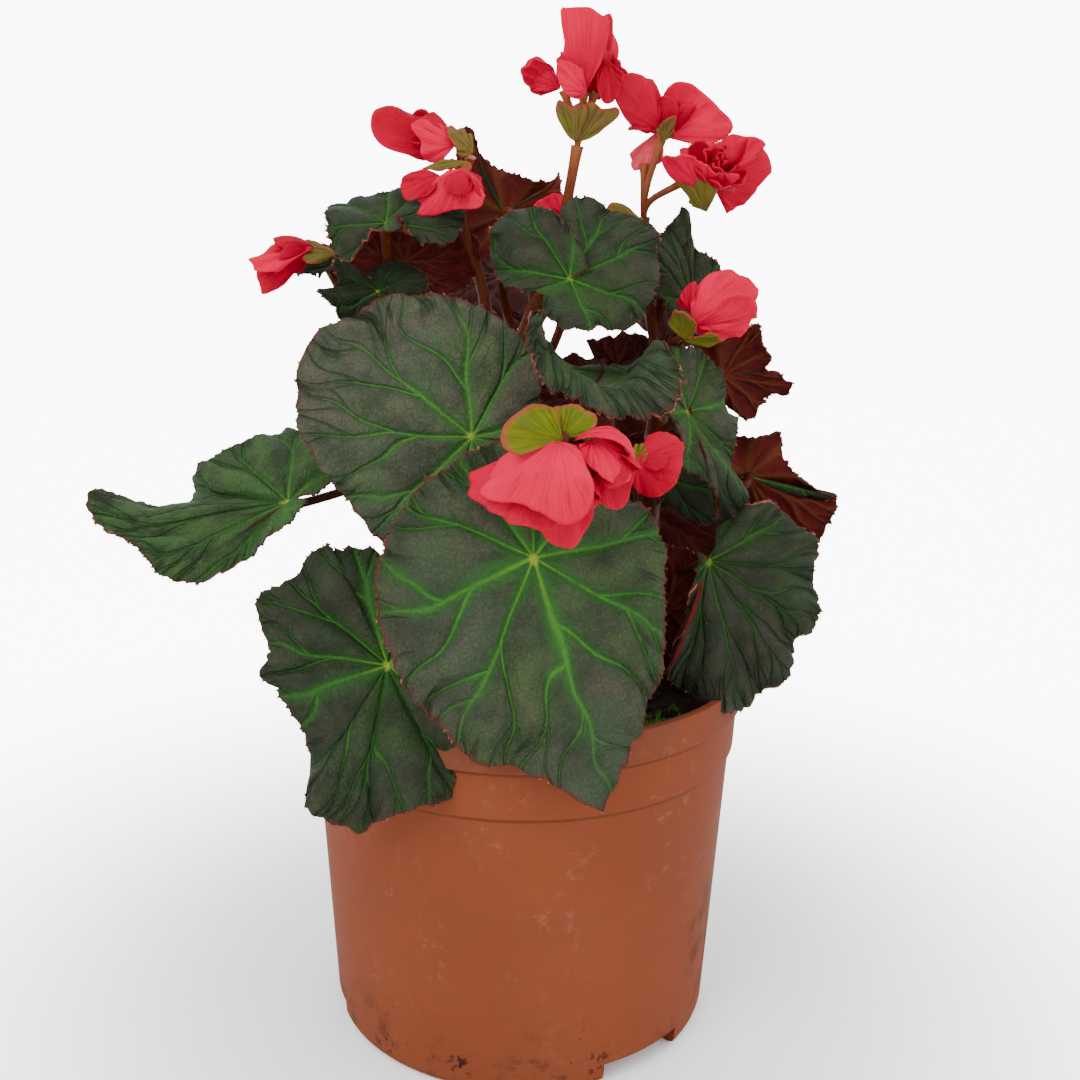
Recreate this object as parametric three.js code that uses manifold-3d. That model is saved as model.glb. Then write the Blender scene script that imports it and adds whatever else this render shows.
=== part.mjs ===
// A begonia in a terracotta-coloured plastic pot.
// Millimetres, +Z up. The origin is the middle of the pot's underside, and -Y is the front.

import * as THREE from 'three';
import Module from 'manifold-3d';
import { mergeVertices } from 'three/addons/utils/BufferGeometryUtils.js';

const wasm = await Module();
wasm.setup();

// Pot
const POT_HEIGHT = 110;
const RIM_RADIUS = 65;
const LIP_HEIGHT = 7;
const BAND_BOTTOM_HEIGHT = 88;
const BAND_BOTTOM_RADIUS = 62.9;
const BASE_RADIUS = 57;
const BASE_ROUNDING = 3;
const WALL = 1.7;
const LIP_WALL = 2.5;
const FOOT_HEIGHT = 7;
const FOOT_INNER_RADIUS = 47;
const CENTRE_FOOT_RADIUS = 14;
const POT_SIDES = 36;
const NOTCH_COUNT = 3;
const NOTCH_WIDTH = 28;
const NOTCH_HEIGHT = 6.3;
const NOTCH_AZIMUTH = -51;
const DRAIN_COUNT = 6;
const DRAIN_RADIUS = 4;
const DRAIN_CIRCLE = 30;

// Soil
const SOIL_LEVEL = 97;
const SOIL_LUMPS = 1.3;
const CLEARANCE = 0.3;
const HOLE_SIDES = 8;
const HOLE_REACH = 22;

// Plant
const BLADE_THICKNESS = 0.8;
const PETAL_THICKNESS = 0.7;
const STEM_RADIUS = 4;
const PETIOLE_RADIUS = 1.5;
const PEDUNCLE_RADIUS = 1.5;
const PEDICEL_RADIUS = 1.2;
const ROOT_DEPTH = 84;
const STEM_SIDES = 6;
const STALK_SIDES = 5;
const SLIT_ANGLE = 5;
const TOOTH_DEPTH = 0.05;
const LARGE_BLADE = { columns: 28, rings: 3 };
const SMALL_BLADE = { columns: 20, rings: 2 };
const OUTER_PETAL_COLUMNS = 5;
const INNER_PETAL_COLUMNS = 4;
const PETAL_RINGS = 2;

// The plain blade's radius at even steps from one side of the stalk slit round the tip to the
// other side, as shares of the blade's size
const PLAIN_REACH = [0.56, 0.64, 0.68, 0.72, 0.78, 0.88, 1, 0.9, 0.82, 0.74, 0.68, 0.6, 0.5];

const FINISHES = {
  pot: { color: 0xa55a3c, roughness: 0.62 },
  soil: { color: 0x2a1d16, roughness: 0.95 },
  stem: { color: 0x8a4526, roughness: 0.45 },
  leaf: { color: 0x4a5140, roughness: 0.55 },
  bract: { color: 0x9aa332, roughness: 0.5 },
  petal: { color: 0xe8384f, roughness: 0.5 },
};

const group = new THREE.Group();

function vector(values) {
  return new THREE.Vector3(values[0], values[1], values[2]);
}

function degrees(value) {
  return THREE.MathUtils.degToRad(value);
}

// A steady number between 0 and 1 for each index, for the soil's lumps
function scatter(index) {
  const value = Math.sin(index * 127.1 + 11.7) * 43758.5453;
  return value - Math.floor(value);
}

function toSolid(geometry) {
  geometry.deleteAttribute('normal');
  geometry.deleteAttribute('uv');
  const merged = mergeVertices(geometry, 1e-3);
  const source = merged.index.array;
  const kept = [];
  for (let i = 0; i < source.length; i += 3) {
    const [a, b, c] = [source[i], source[i + 1], source[i + 2]];
    if (a !== b && b !== c && c !== a) {
      kept.push(a, b, c);
    }
  }
  return new wasm.Manifold(new wasm.Mesh({
    numProp: 3,
    vertProperties: new Float32Array(merged.attributes.position.array),
    triVerts: new Uint32Array(kept),
  }));
}

function addPiece(name, solid, finish) {
  const result = solid.getMesh();
  const geometry = new THREE.BufferGeometry();
  geometry.setAttribute('position', new THREE.BufferAttribute(result.vertProperties, 3));
  geometry.setIndex(new THREE.BufferAttribute(result.triVerts, 1));
  geometry.computeVertexNormals();
  const material = new THREE.MeshStandardMaterial({ ...FINISHES[finish], metalness: 0 });
  const piece = new THREE.Mesh(geometry, material);
  piece.name = name;
  group.add(piece);
}

function join(solids) {
  return solids.reduce((whole, solid) => whole.add(solid));
}

// A round bar along a curve
function barAlong(path, radius, sides, steps) {
  const circle = new THREE.Shape();
  for (let i = 0; i < sides; i += 1) {
    const angle = (i / sides) * Math.PI * 2;
    const [x, y] = [radius * Math.cos(angle), radius * Math.sin(angle)];
    if (i === 0) {
      circle.moveTo(x, y);
    } else {
      circle.lineTo(x, y);
    }
  }
  circle.closePath();
  return toSolid(new THREE.ExtrudeGeometry(circle, { steps, extrudePath: path, curveSegments: 1 }));
}

// A round bar along a smooth curve through the points
function bar(points, radius, sides, steps) {
  const path = new THREE.CatmullRomCurve3(points, false, 'centripetal');
  return barAlong(path, radius, sides, steps);
}

// Bends a strip that starts flat, so that it has turned down by the given angle at one size out.
// Returns the new distance and height.
function bend(distance, height, turn, size) {
  const curvature = degrees(turn) / size;
  if (Math.abs(curvature) < 1e-7) {
    return [distance, height];
  }
  const angle = curvature * Math.abs(distance);
  const along = Math.sin(angle) / curvature + height * Math.sin(angle);
  return [Math.sign(distance) * along, height * Math.cos(angle) - (1 - Math.cos(angle)) / curvature];
}

// A point of a blade or petal: theta runs from the tip round to the slit, radius from the hub out
function sheetPoint(sheet, theta, radius) {
  const size = sheet.size;
  const share = radius / size;
  const flatX = radius * Math.sin(theta);
  const flatY = radius * Math.cos(theta);
  let height = (sheet.cup ?? 0) * size * share ** 2 - (sheet.flare ?? 0) * size * share ** 4;
  height += ((sheet.lap ?? 0) * share * theta) / Math.PI;
  const swell = Math.cos(theta * (sheet.waves ?? 7) + degrees(sheet.phase ?? 0));
  height += (sheet.wave ?? 0) * share ** 2 * swell;
  const sideTurn = flatX > 0 ? sheet.right ?? 0 : sheet.left ?? 0;
  const [x, lifted] = bend(flatX, height, sideTurn, size);
  const endTurn = flatY > 0 ? sheet.tip ?? 0 : sheet.base ?? 0;
  const [y, z] = bend(flatY, lifted, endTurn, size);
  return new THREE.Vector3(x, y, z);
}

// Turns local points so that +Y follows the aim and +Z leans to the face, then moves them to the hub
function placement(sheet) {
  const forward = vector(sheet.aim).normalize();
  const up = vector(sheet.face);
  up.addScaledVector(forward, -up.dot(forward)).normalize();
  const side = new THREE.Vector3().crossVectors(forward, up);
  return new THREE.Matrix4().makeBasis(side, forward, up).setPosition(vector(sheet.hub));
}

// A thin closed sheet, made as a fan of columns round its hub, from a function that gives the middle
// surface at a column and a share of the way out. A whole fan goes full circle, and any other has a
// slit. Both faces share one triangle plan.
function fanSolid(surface, thickness, columns, rings, whole, frame) {
  const spokes = whole ? columns : columns + 1;
  const middle = [surface(0, 0)];
  for (let j = 1; j <= rings; j += 1) {
    for (let i = 0; i < spokes; i += 1) {
      middle.push(surface(i, j / rings));
    }
  }
  const at = (i, j) => (j === 0 ? 0 : 1 + (j - 1) * spokes + (i % spokes));
  const faces = [];
  for (let i = 0; i < columns; i += 1) {
    faces.push([0, at(i + 1, 1), at(i, 1)]);
    for (let j = 1; j < rings; j += 1) {
      faces.push([at(i, j), at(i + 1, j + 1), at(i, j + 1)]);
      faces.push([at(i, j), at(i + 1, j), at(i + 1, j + 1)]);
    }
  }
  const normals = middle.map(() => new THREE.Vector3());
  for (const [a, b, c] of faces) {
    const edge = middle[b].clone().sub(middle[a]);
    const turn = edge.cross(middle[c].clone().sub(middle[a]));
    normals[a].add(turn);
    normals[b].add(turn);
    normals[c].add(turn);
  }
  const positions = [];
  for (const side of [0.5, -0.5]) {
    middle.forEach((point, k) => {
      const moved = point.clone().addScaledVector(normals[k].normalize(), side * thickness);
      positions.push(moved.x, moved.y, moved.z);
    });
  }
  const rim = [];
  for (let j = 0; j < rings && !whole; j += 1) {
    rim.push(at(0, j));
  }
  for (let i = 0; i < spokes; i += 1) {
    rim.push(at(i, rings));
  }
  for (let j = rings - 1; j > 0 && !whole; j -= 1) {
    rim.push(at(columns, j));
  }
  const count = middle.length;
  const triangles = [];
  for (const [a, b, c] of faces) {
    triangles.push(a, b, c, count + a, count + c, count + b);
  }
  rim.forEach((a, k) => {
    const b = rim[(k + 1) % rim.length];
    triangles.push(a, b, count + b, a, count + b, count + a);
  });
  const geometry = new THREE.BufferGeometry();
  geometry.setAttribute('position', new THREE.Float32BufferAttribute(positions, 3));
  geometry.setIndex(triangles);
  geometry.applyMatrix4(frame);
  return toSolid(geometry);
}

// Pot

function potSolid() {
  const lipBottom = POT_HEIGHT - LIP_HEIGHT;
  const floorTop = FOOT_HEIGHT + WALL;
  const wallRadius = (z) => THREE.MathUtils.mapLinear(
    z, BASE_ROUNDING, BAND_BOTTOM_HEIGHT, BASE_RADIUS, BAND_BOTTOM_RADIUS - 0.6);
  const profile = [
    [0, 0],
    [CENTRE_FOOT_RADIUS, 0],
    [CENTRE_FOOT_RADIUS, FOOT_HEIGHT],
    [FOOT_INNER_RADIUS, FOOT_HEIGHT],
    [FOOT_INNER_RADIUS + 1, 0],
    [BASE_RADIUS - BASE_ROUNDING, 0],
    [BASE_RADIUS - 0.8, 1],
    [BASE_RADIUS, BASE_ROUNDING],
    [wallRadius(BAND_BOTTOM_HEIGHT - 1), BAND_BOTTOM_HEIGHT - 1],
    [BAND_BOTTOM_RADIUS, BAND_BOTTOM_HEIGHT],
    [RIM_RADIUS - 0.6, lipBottom - 0.6],
    [RIM_RADIUS, lipBottom],
    [RIM_RADIUS, POT_HEIGHT - 0.8],
    [RIM_RADIUS - 0.8, POT_HEIGHT],
    [RIM_RADIUS - LIP_WALL, POT_HEIGHT],
    [RIM_RADIUS - LIP_WALL, lipBottom],
    [BAND_BOTTOM_RADIUS - WALL, BAND_BOTTOM_HEIGHT - 2],
    [wallRadius(floorTop + 3) - WALL, floorTop + 3],
    [wallRadius(floorTop) - WALL - 3, floorTop],
    [0, floorTop],
  ].map(([radius, z]) => new THREE.Vector2(radius, z));
  const shell = new THREE.LatheGeometry(profile, POT_SIDES);
  shell.rotateX(Math.PI / 2);
  let pot = toSolid(shell);
  for (let i = 0; i < NOTCH_COUNT; i += 1) {
    const cutter = new THREE.BoxGeometry(30, NOTCH_WIDTH, NOTCH_HEIGHT * 2);
    cutter.translate(BASE_RADIUS, 0, 0);
    cutter.rotateZ(degrees(NOTCH_AZIMUTH + (i * 360) / NOTCH_COUNT));
    pot = pot.subtract(toSolid(cutter));
  }
  for (let i = 0; i < DRAIN_COUNT; i += 1) {
    const cutter = new THREE.CylinderGeometry(DRAIN_RADIUS, DRAIN_RADIUS, 20, 10);
    cutter.rotateX(Math.PI / 2);
    cutter.translate(DRAIN_CIRCLE, 0, FOOT_HEIGHT);
    cutter.rotateZ(degrees((i * 360) / DRAIN_COUNT));
    pot = pot.subtract(toSolid(cutter));
  }
  return pot;
}

// Soil, which fills the pot up to its level and has a plain hole for each stem

function soilSolid(holes) {
  const floor = FOOT_HEIGHT + WALL + CLEARANCE;
  const side = BAND_BOTTOM_RADIUS - WALL - CLEARANCE - 0.2;
  const bottom = BASE_RADIUS - WALL - CLEARANCE - 3;
  const slope = (side - bottom - 2.6) / (BAND_BOTTOM_HEIGHT - floor);
  const profile = [
    [0, floor],
    [bottom, floor],
    [bottom + 2.6, floor + 4],
    [bottom + 2.6 + slope * (BAND_BOTTOM_HEIGHT - floor) - 0.4, BAND_BOTTOM_HEIGHT - 3],
    [side, SOIL_LEVEL - 2],
    [side * 0.82, SOIL_LEVEL],
    [side * 0.58, SOIL_LEVEL + 1],
    [side * 0.3, SOIL_LEVEL + 1.5],
    [0, SOIL_LEVEL + 2],
  ].map(([radius, z]) => new THREE.Vector2(radius, z));
  const filling = new THREE.LatheGeometry(profile, POT_SIDES);
  filling.rotateX(Math.PI / 2);
  filling.deleteAttribute('normal');
  filling.deleteAttribute('uv');
  const merged = mergeVertices(filling, 1e-3);
  const position = merged.attributes.position;
  for (let i = 0; i < position.count; i += 1) {
    const radius = Math.hypot(position.getX(i), position.getY(i));
    if (position.getZ(i) > SOIL_LEVEL - 1 && radius < side * 0.9) {
      position.setZ(i, position.getZ(i) + SOIL_LUMPS * (scatter(i) * 2 - 1));
    }
  }
  let soil = toSolid(merged);
  for (const hole of holes) {
    soil = soil.subtract(hole);
  }
  return soil;
}

// Leaf blades, listed from the front round the plant. Each has the stem that carries it and how far
// up that stem its stalk leaves, the hub where the stalk joins the blade, the aim of its midrib, the
// way its upper face looks, its size from hub to tip, and its bends in degrees. Reach is the
// outline's radius at even steps from slit to slit, with the tip in the middle.

const LEAVES = [
  { name: 'front', large: true, stem: 'front_right', from: 0.4, hub: [2, -68, 159], aim: [3, -2, -10],
    face: [0, -9, 4], size: 66, cup: -0.06, tip: 14, base: 18, left: 14, right: 14, wave: 2,
    reach: [30, 28, 28, 32, 34, 48, 69, 54, 46, 42, 36, 33, 30], point: 7 },
  { name: 'front_left_upper', large: true, stem: 'front_left', from: 0.75, hub: [-14, -40, 183],
    aim: [-10, -1, 0], face: [-2, -9, 3], size: 52, cup: -0.05, tip: 18, base: 10, left: 4,
    right: 14, wave: 1.5, reach: [17, 16, 14, 22, 37, 38, 44, 50, 46, 39, 32, 23, 19] },
  { name: 'left_lower', large: true, stem: 'front_left', from: 0.3, hub: [-35, -54, 126],
    aim: [-4, -4, -10], face: [-4, -9, 4], size: 52, cup: -0.05, tip: 15, base: 18, left: 14,
    right: 12, wave: 2.5, phase: 60, reach: [19, 17, 18, 24, 33, 38, 43, 32, 34, 42, 44, 34, 24] },
  { name: 'far_left', large: true, stem: 'back_left', from: 0.45, hub: [-67, -12, 157], aim: [-10, 0, 1],
    face: [0, -6, 8], size: 54, tip: -6, left: 20, right: 10, wave: 2, waves: 5,
    reach: [11, 10, 10, 14, 26, 36, 54, 36, 28, 28, 28, 20, 14] },
  { name: 'centre_upper', stem: 'back_middle', from: 0.8, hub: [11, -14, 221], aim: [0, -9, -5],
    face: [0, -5, 9], size: 38, cup: 0.1, tip: 35, base: -20, wave: 2,
    reach: [30, 29, 26, 24, 26, 21, 20, 15, 16, 20, 26, 30, 28] },
  { name: 'centre_cup', large: true, stem: 'front_right', from: 0.9, hub: [21, -30, 194],
    aim: [1, -9, -3], face: [0, -3, 9], size: 36, cup: 0.75, flare: 0.45,
    reach: [15, 18, 19, 18, 20, 28, 34, 28, 20, 17, 19, 21, 16] },
  { name: 'right_centre', stem: 'front_right', from: 0.8, hub: [41, -14, 186], aim: [5, -3, -9],
    face: [-4, -9, 2], size: 44, tip: 16, left: 10, right: 35, wave: 2,
    reach: [20, 18, 17, 14, 16, 20, 37, 16, 14, 14, 14, 16, 19] },
  { name: 'right_centre_low', stem: 'back_right', from: 0.55, hub: [42, 4, 163], aim: [5, -3, -9],
    face: [-3, -9, 2], size: 30, tip: 20, left: 10, right: 20, wave: 1.5,
    reach: [16, 14, 13, 13, 16, 18, 18, 13, 10, 11, 12, 14, 16] },
  { name: 'right_lower', large: true, stem: 'back_right', from: 0.4, hub: [50, -24, 146],
    aim: [4, -4, -10], face: [3, -9, 4], size: 46, tip: 20, left: 20, right: 15, wave: 3,
    reach: [13, 16, 26, 38, 36, 40, 40, 34, 22, 16, 13, 12, 13] },
  { name: 'right_behind', stem: 'back_right', from: 0.6, hub: [62, 10, 165], aim: [9, 2, -3],
    face: [1, 9, 3], size: 40, cup: 0.1, tip: 10, wave: 2, waves: 5,
    reach: [10, 10, 12, 16, 27, 38, 34, 18, 16, 14, 12, 14, 10] },
  { name: 'right_upper_behind', stem: 'back_right', from: 0.85, hub: [54, 14, 193],
    aim: [9, 1, -4], face: [0, 8, 4], size: 30, cup: 0.1, tip: 10, wave: 2, waves: 5,
    reach: [8, 8, 9, 12, 15, 18, 20, 20, 15, 13, 12, 12, 8] },
  { name: 'right_upper', stem: 'back_right', from: 0.95, hub: [46, 6, 214], aim: [-1, 1, 10],
    face: [-2, -9, 0], size: 30, cup: 0.05, left: 10, right: 10, wave: 2, waves: 5,
    reach: [10, 9, 8, 8, 11, 17, 22, 15, 12, 11, 12, 12, 10] },
  { name: 'left_upper', stem: 'back_left', from: 0.95, hub: [-40, -10, 233], aim: [-8, -5, -2],
    face: [-1, -6, 7], size: 30, tip: 10, left: 10, wave: 2, waves: 5,
    reach: [20, 16, 9, 9, 12, 14, 16, 14, 15, 16, 17, 22, 24] },
  { name: 'back_upper', stem: 'back_middle', from: 0.9, hub: [-7, 22, 237], aim: [2, 5, 8],
    face: [0, 8, 4], size: 38, cup: 0.1, wave: 2, waves: 5,
    reach: [16, 13, 14, 16, 18, 17, 18, 19, 21, 18, 17, 19, 16] },
  { name: 'young_left', stem: 'back_left', from: 0.9, hub: [-52, 8, 224], aim: [-8, -2, -3],
    face: [-1, -6, 7], size: 15, wave: 1.5, waves: 5 },
  { name: 'young_left_low', stem: 'back_left', from: 0.8, hub: [-50, -9, 208], aim: [-8, -3, -2],
    face: [-1, -5, 7], size: 16, wave: 2, waves: 5 },
  { name: 'inner_left', stem: 'back_left', from: 0.85, hub: [-31, -12, 213], aim: [2, -8, -4],
    face: [0, -5, 8], size: 18, wave: 2, waves: 5 },
  { name: 'left_side', stem: 'back_left', from: 0.6, hub: [-52, 31, 169], aim: [-7, 4, -5],
    face: [-5, 3, 7], size: 32, tip: 20, left: 12, right: 12, wave: 2 },
  { name: 'left_side_low', stem: 'back_left', from: 0.3, hub: [-56, 14, 130], aim: [-8, 3, -6],
    face: [-6, 0, 7], size: 32, tip: 20, left: 12, right: 12, wave: 2 },
  { name: 'back_low_left', stem: 'back_left', from: 0.4, hub: [-34, 48, 147], aim: [-6, 7, -6],
    face: [-4, 6, 7], size: 42, tip: 25, left: 14, right: 14, wave: 2.5 },
  { name: 'back_low_middle', stem: 'back_middle', from: 0.25, hub: [2, 62, 132], aim: [0, 8, -7],
    face: [0, 7, 6], size: 48, tip: 20, left: 14, right: 14, wave: 2.5 },
  { name: 'back_low_right', stem: 'back_right', from: 0.3, hub: [38, 50, 145], aim: [5, 7, -6],
    face: [4, 6, 7], size: 40, tip: 25, left: 14, right: 14, wave: 2.5 },
  { name: 'inner_right', stem: 'front_right', from: 0.3, hub: [41, -8, 127], aim: [1, 0, -10],
    face: [1, 9, 2], size: 22, wave: 1, waves: 5,
    reach: [9, 9, 9, 10, 12, 16, 20, 16, 12, 10, 9, 9, 9] },
  { name: 'right_side', stem: 'back_right', from: 0.62, hub: [57, 34, 165], aim: [8, 5, -7],
    face: [6, 3, 7], size: 30, tip: 20, left: 12, right: 12, wave: 2 },
  { name: 'right_side_low', stem: 'back_right', from: 0.2, hub: [56, 14, 126], aim: [9, 3, -5],
    face: [4, 0, 8], size: 30, tip: 20, left: 12, right: 12, wave: 2 },
  { name: 'back_middle_left', stem: 'back_middle', from: 0.6, hub: [-28, 38, 188],
    aim: [-4, 8, -5], face: [-2, 6, 7], size: 40, tip: 20, left: 12, right: 12, wave: 2 },
  { name: 'back_middle_right', stem: 'back_right', from: 0.55, hub: [26, 46, 182],
    aim: [2, 8, -5], face: [1, 6, 7], size: 34, tip: 20, left: 12, right: 12, wave: 2 },
  { name: 'back_top', stem: 'back_middle', from: 0.75, hub: [-8, 42, 218], aim: [-2, 9, -4],
    face: [0, 5, 8], size: 36, tip: 20, left: 12, right: 12, wave: 2 },
  { name: 'back_top_right', stem: 'back_right', from: 0.75, hub: [40, 28, 212], aim: [5, 7, -4],
    face: [3, 4, 8], size: 30, tip: 20, left: 12, right: 12, wave: 2 },
];

function outlineOf(leaf) {
  const reach = leaf.reach ?? PLAIN_REACH.map((share) => share * leaf.size);
  const spans = reach.length - 1;
  const limit = degrees(180 - SLIT_ANGLE);
  const value = (k) => reach[THREE.MathUtils.clamp(k, 0, spans)];
  const pointSpan = (2 * limit) / spans;
  return (theta) => {
    const place = ((theta + limit) / (2 * limit)) * spans;
    const k = Math.min(Math.floor(place), spans - 1);
    const t = place - k;
    const [a, b, c, d] = [value(k - 1), value(k), value(k + 1), value(k + 2)];
    let radius = b + 0.5 * t * (c - a + t * (2 * a - 5 * b + 4 * c - d + t * (3 * (b - c) + d - a)));
    if (Math.abs(theta) < pointSpan) {
      radius -= (leaf.point ?? 0) * Math.sin((Math.PI * theta) / pointSpan) ** 2;
    }
    return radius;
  };
}

function bladeSolid(leaf) {
  const { columns, rings } = leaf.large ? LARGE_BLADE : SMALL_BLADE;
  const limit = degrees(180 - SLIT_ANGLE);
  const outline = outlineOf(leaf);
  const surface = (i, share) => {
    const theta = THREE.MathUtils.lerp(-limit, limit, i / columns);
    const tooth = i % 2 === 1 ? 1 : 1 - TOOTH_DEPTH;
    return sheetPoint(leaf, theta, outline(theta) * share * tooth);
  };
  return fanSolid(surface, BLADE_THICKNESS, columns, rings, false, placement(leaf));
}

// Leafy stems: each rises from the soil through its points

const STEMS = {
  front_left: [[-14, -12, ROOT_DEPTH], [-18, -16, 120], [-16, -12, 160], [-15, -8, 190]],
  front_right: [[14, -14, ROOT_DEPTH], [20, -14, 120], [22, -8, 155], [22, -2, 182]],
  back_left: [[-20, 16, ROOT_DEPTH], [-28, 16, 125], [-34, 10, 170], [-36, 4, 205]],
  back_middle: [[4, 18, ROOT_DEPTH], [4, 16, 130], [4, 10, 180], [6, 8, 215]],
  back_right: [[24, 16, ROOT_DEPTH], [32, 16, 120], [38, 14, 165], [38, 10, 198]],
};

const stemCurves = {};
const stemSolids = {};
for (const [name, points] of Object.entries(STEMS)) {
  stemCurves[name] = new THREE.CatmullRomCurve3(points.map(vector), false, 'centripetal');
  stemSolids[name] = [bar(points.map(vector), STEM_RADIUS, STEM_SIDES, 4)];
}

// A stalk from its stem to the underside of its blade, square to the blade where it meets it
function addStalk(leaf) {
  const start = stemCurves[leaf.stem].getPoint(leaf.from);
  const frame = placement(leaf);
  const under = BLADE_THICKNESS / 2 + CLEARANCE;
  const end = new THREE.Vector3(0, 0, -under).applyMatrix4(frame);
  const span = start.distanceTo(end);
  const entry = new THREE.Vector3(0, 0, -under - span * 0.3).applyMatrix4(frame);
  const curve = new THREE.CubicBezierCurve3(start, start.clone().lerp(entry, 0.4), entry, end);
  stemSolids[leaf.stem].push(barAlong(curve, PETIOLE_RADIUS, STALK_SIDES, 4));
}

// Blooms: each has the base where its stalk ends, the axis from there to its mouth, its petals'
// length, and a habit. A layer of a habit has its number of petals, its share of the length, the
// angle that it opens to at its base and at its rim, and how deep the petals are cut.

const HABITS = {
  tube: [
    { petals: 3, share: 1, base: 54, rim: -14, cut: 0.3, lift: 0 },
    { petals: 2, share: 0.86, base: 36, rim: -10, cut: 0.3, lift: 1.2 },
  ],
  bell: [
    { petals: 4, share: 1, base: 78, rim: -2, cut: 0.34, lift: 0 },
    { petals: 3, share: 0.8, base: 48, rim: -4, cut: 0.34, lift: 1.2 },
  ],
  rose: [
    { petals: 5, share: 1, base: 80, rim: 34, cut: 0.34, lift: 0 },
    { petals: 4, share: 0.76, base: 58, rim: 10, cut: 0.34, lift: 1.2 },
    { petals: 2, share: 0.56, base: 34, rim: -6, cut: 0.3, lift: 2.4 },
  ],
  cup: [
    { petals: 4, share: 1, base: 76, rim: -2, cut: 0.4, lift: 0 },
  ],
  bud: [
    { petals: 2, share: 1, base: 70, rim: -30, cut: 0.15, lift: 0 },
  ],
};

const CALYX = { petals: 2, base: 90, rim: 58, cut: 0.6 };
const CALYX_SHARE = 0.45;
const CORE_RADIUS = 1.2;

const BLOOMS = [
  { name: 'front', stalk: 'front', base: [7, -83, 193], axis: [0, -1, -10], length: 30,
    habit: 'bell', spin: 20 },
  { name: 'front_right', stalk: 'front', base: [30, -77, 193], axis: [6, -3, -8], length: 19,
    habit: 'cup', spin: 80 },
  { name: 'front_behind', stalk: 'front_low', base: [29, -52, 181], axis: [9, -3, -2], length: 16,
    habit: 'cup', spin: 0 },
  { name: 'right', stalk: 'right', base: [44, -13, 211], axis: [8, -2, 5], length: 24,
    habit: 'bell', spin: 30 },
  { name: 'top_right_back', stalk: 'top_right', base: [41, 18, 252], axis: [1, 3, 9], length: 25,
    habit: 'rose', spin: 0 },
  { name: 'top_right_front', stalk: 'top_right', base: [46, 0, 247], axis: [8, -4, 3], length: 24,
    habit: 'rose', spin: 35 },
  { name: 'top', stalk: 'top', base: [15, 8, 264], axis: [0, -1, 10], length: 29, habit: 'tube',
    spin: 10 },
  { name: 'top_bud', stalk: 'top', base: [2, 8, 268], axis: [-6, 0, 7], length: 12, habit: 'bud',
    spin: 0, bare: true },
  { name: 'left_tube', stalk: 'left', base: [-23, -4, 254], axis: [-9, -2, 4], length: 22,
    habit: 'tube', spin: 0 },
  { name: 'left_nodding', stalk: 'left', base: [-19, -10, 249], axis: [0, -4, -8], length: 18,
    habit: 'cup', spin: 50 },
  { name: 'far_left', stalk: 'far_left', base: [-58, -6, 229], axis: [-9, -2, -3], length: 19,
    habit: 'tube', spin: 60 },
  { name: 'behind_leaf', stalk: 'behind', base: [5, 15, 238], axis: [0, -1, 6], length: 11,
    habit: 'cup', spin: 0, bare: true },
  { name: 'low_bud', stalk: 'low', base: [33, -37, 135], axis: [0, -2, 9], length: 7,
    habit: 'bud', spin: 0, bare: true },
];

// Flower stalks: each leaves its stem, near the top unless stated, and runs through its points to
// the joint of its blooms
const STALKS = {
  front: { stem: 'front_right', points: [[18, -28, 174], [15, -54, 182], [14, -70, 192]] },
  front_low: { stem: 'front_right', points: [[23, -20, 170], [22, -42, 178]] },
  right: { stem: 'back_right', points: [[39, 2, 200], [40, -8, 206]] },
  top_right: { stem: 'back_right', points: [[33, 9, 222], [32, 8, 238]] },
  top: { stem: 'back_middle', points: [[8, 9, 226], [10, 9, 238], [13, 9, 252]] },
  behind: { stem: 'back_middle', points: [[4, 14, 222], [4, 15, 228]] },
  left: { stem: 'front_left', points: [[-12, -2, 213], [-19, 0, 237], [-18, -2, 246]] },
  far_left: { stem: 'back_left', points: [[-38, -1, 214], [-48, -3, 229]] },
  low: { stem: 'front_right', from: 0.3, points: [[26, -20, 120], [32, -30, 124]] },
};

function bloomFrame(bloom) {
  const turn = new THREE.Quaternion().setFromUnitVectors(
    new THREE.Vector3(0, 0, 1), vector(bloom.axis).normalize());
  const spin = new THREE.Matrix4().makeRotationZ(degrees(bloom.spin));
  const frame = new THREE.Matrix4().makeRotationFromQuaternion(turn);
  return frame.setPosition(vector(bloom.base)).multiply(spin);
}

// One round of petals or bracts as a single sheet: it leaves the axis at the base angle and turns
// steadily to the rim angle, and it is cut in from the rim between its petals
function layerSolid(layer, length, height, frame, perPetal) {
  const columns = layer.petals * perPetal;
  const [first, last] = [degrees(layer.base), degrees(layer.rim)];
  const surface = (i, share) => {
    const azimuth = (i / columns) * Math.PI * 2;
    const across = Math.abs(Math.sin((azimuth * layer.petals) / 2));
    const reach = length * (1 - layer.cut + layer.cut * Math.sqrt(across)) * share;
    const turn = (last - first) / length;
    const end = first + turn * reach;
    const radius = (Math.cos(first) - Math.cos(end)) / turn;
    const rise = (Math.sin(end) - Math.sin(first)) / turn;
    return new THREE.Vector3(radius * Math.cos(azimuth), radius * Math.sin(azimuth), height + rise);
  };
  return fanSolid(surface, PETAL_THICKNESS, columns, PETAL_RINGS, true, frame);
}

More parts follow.
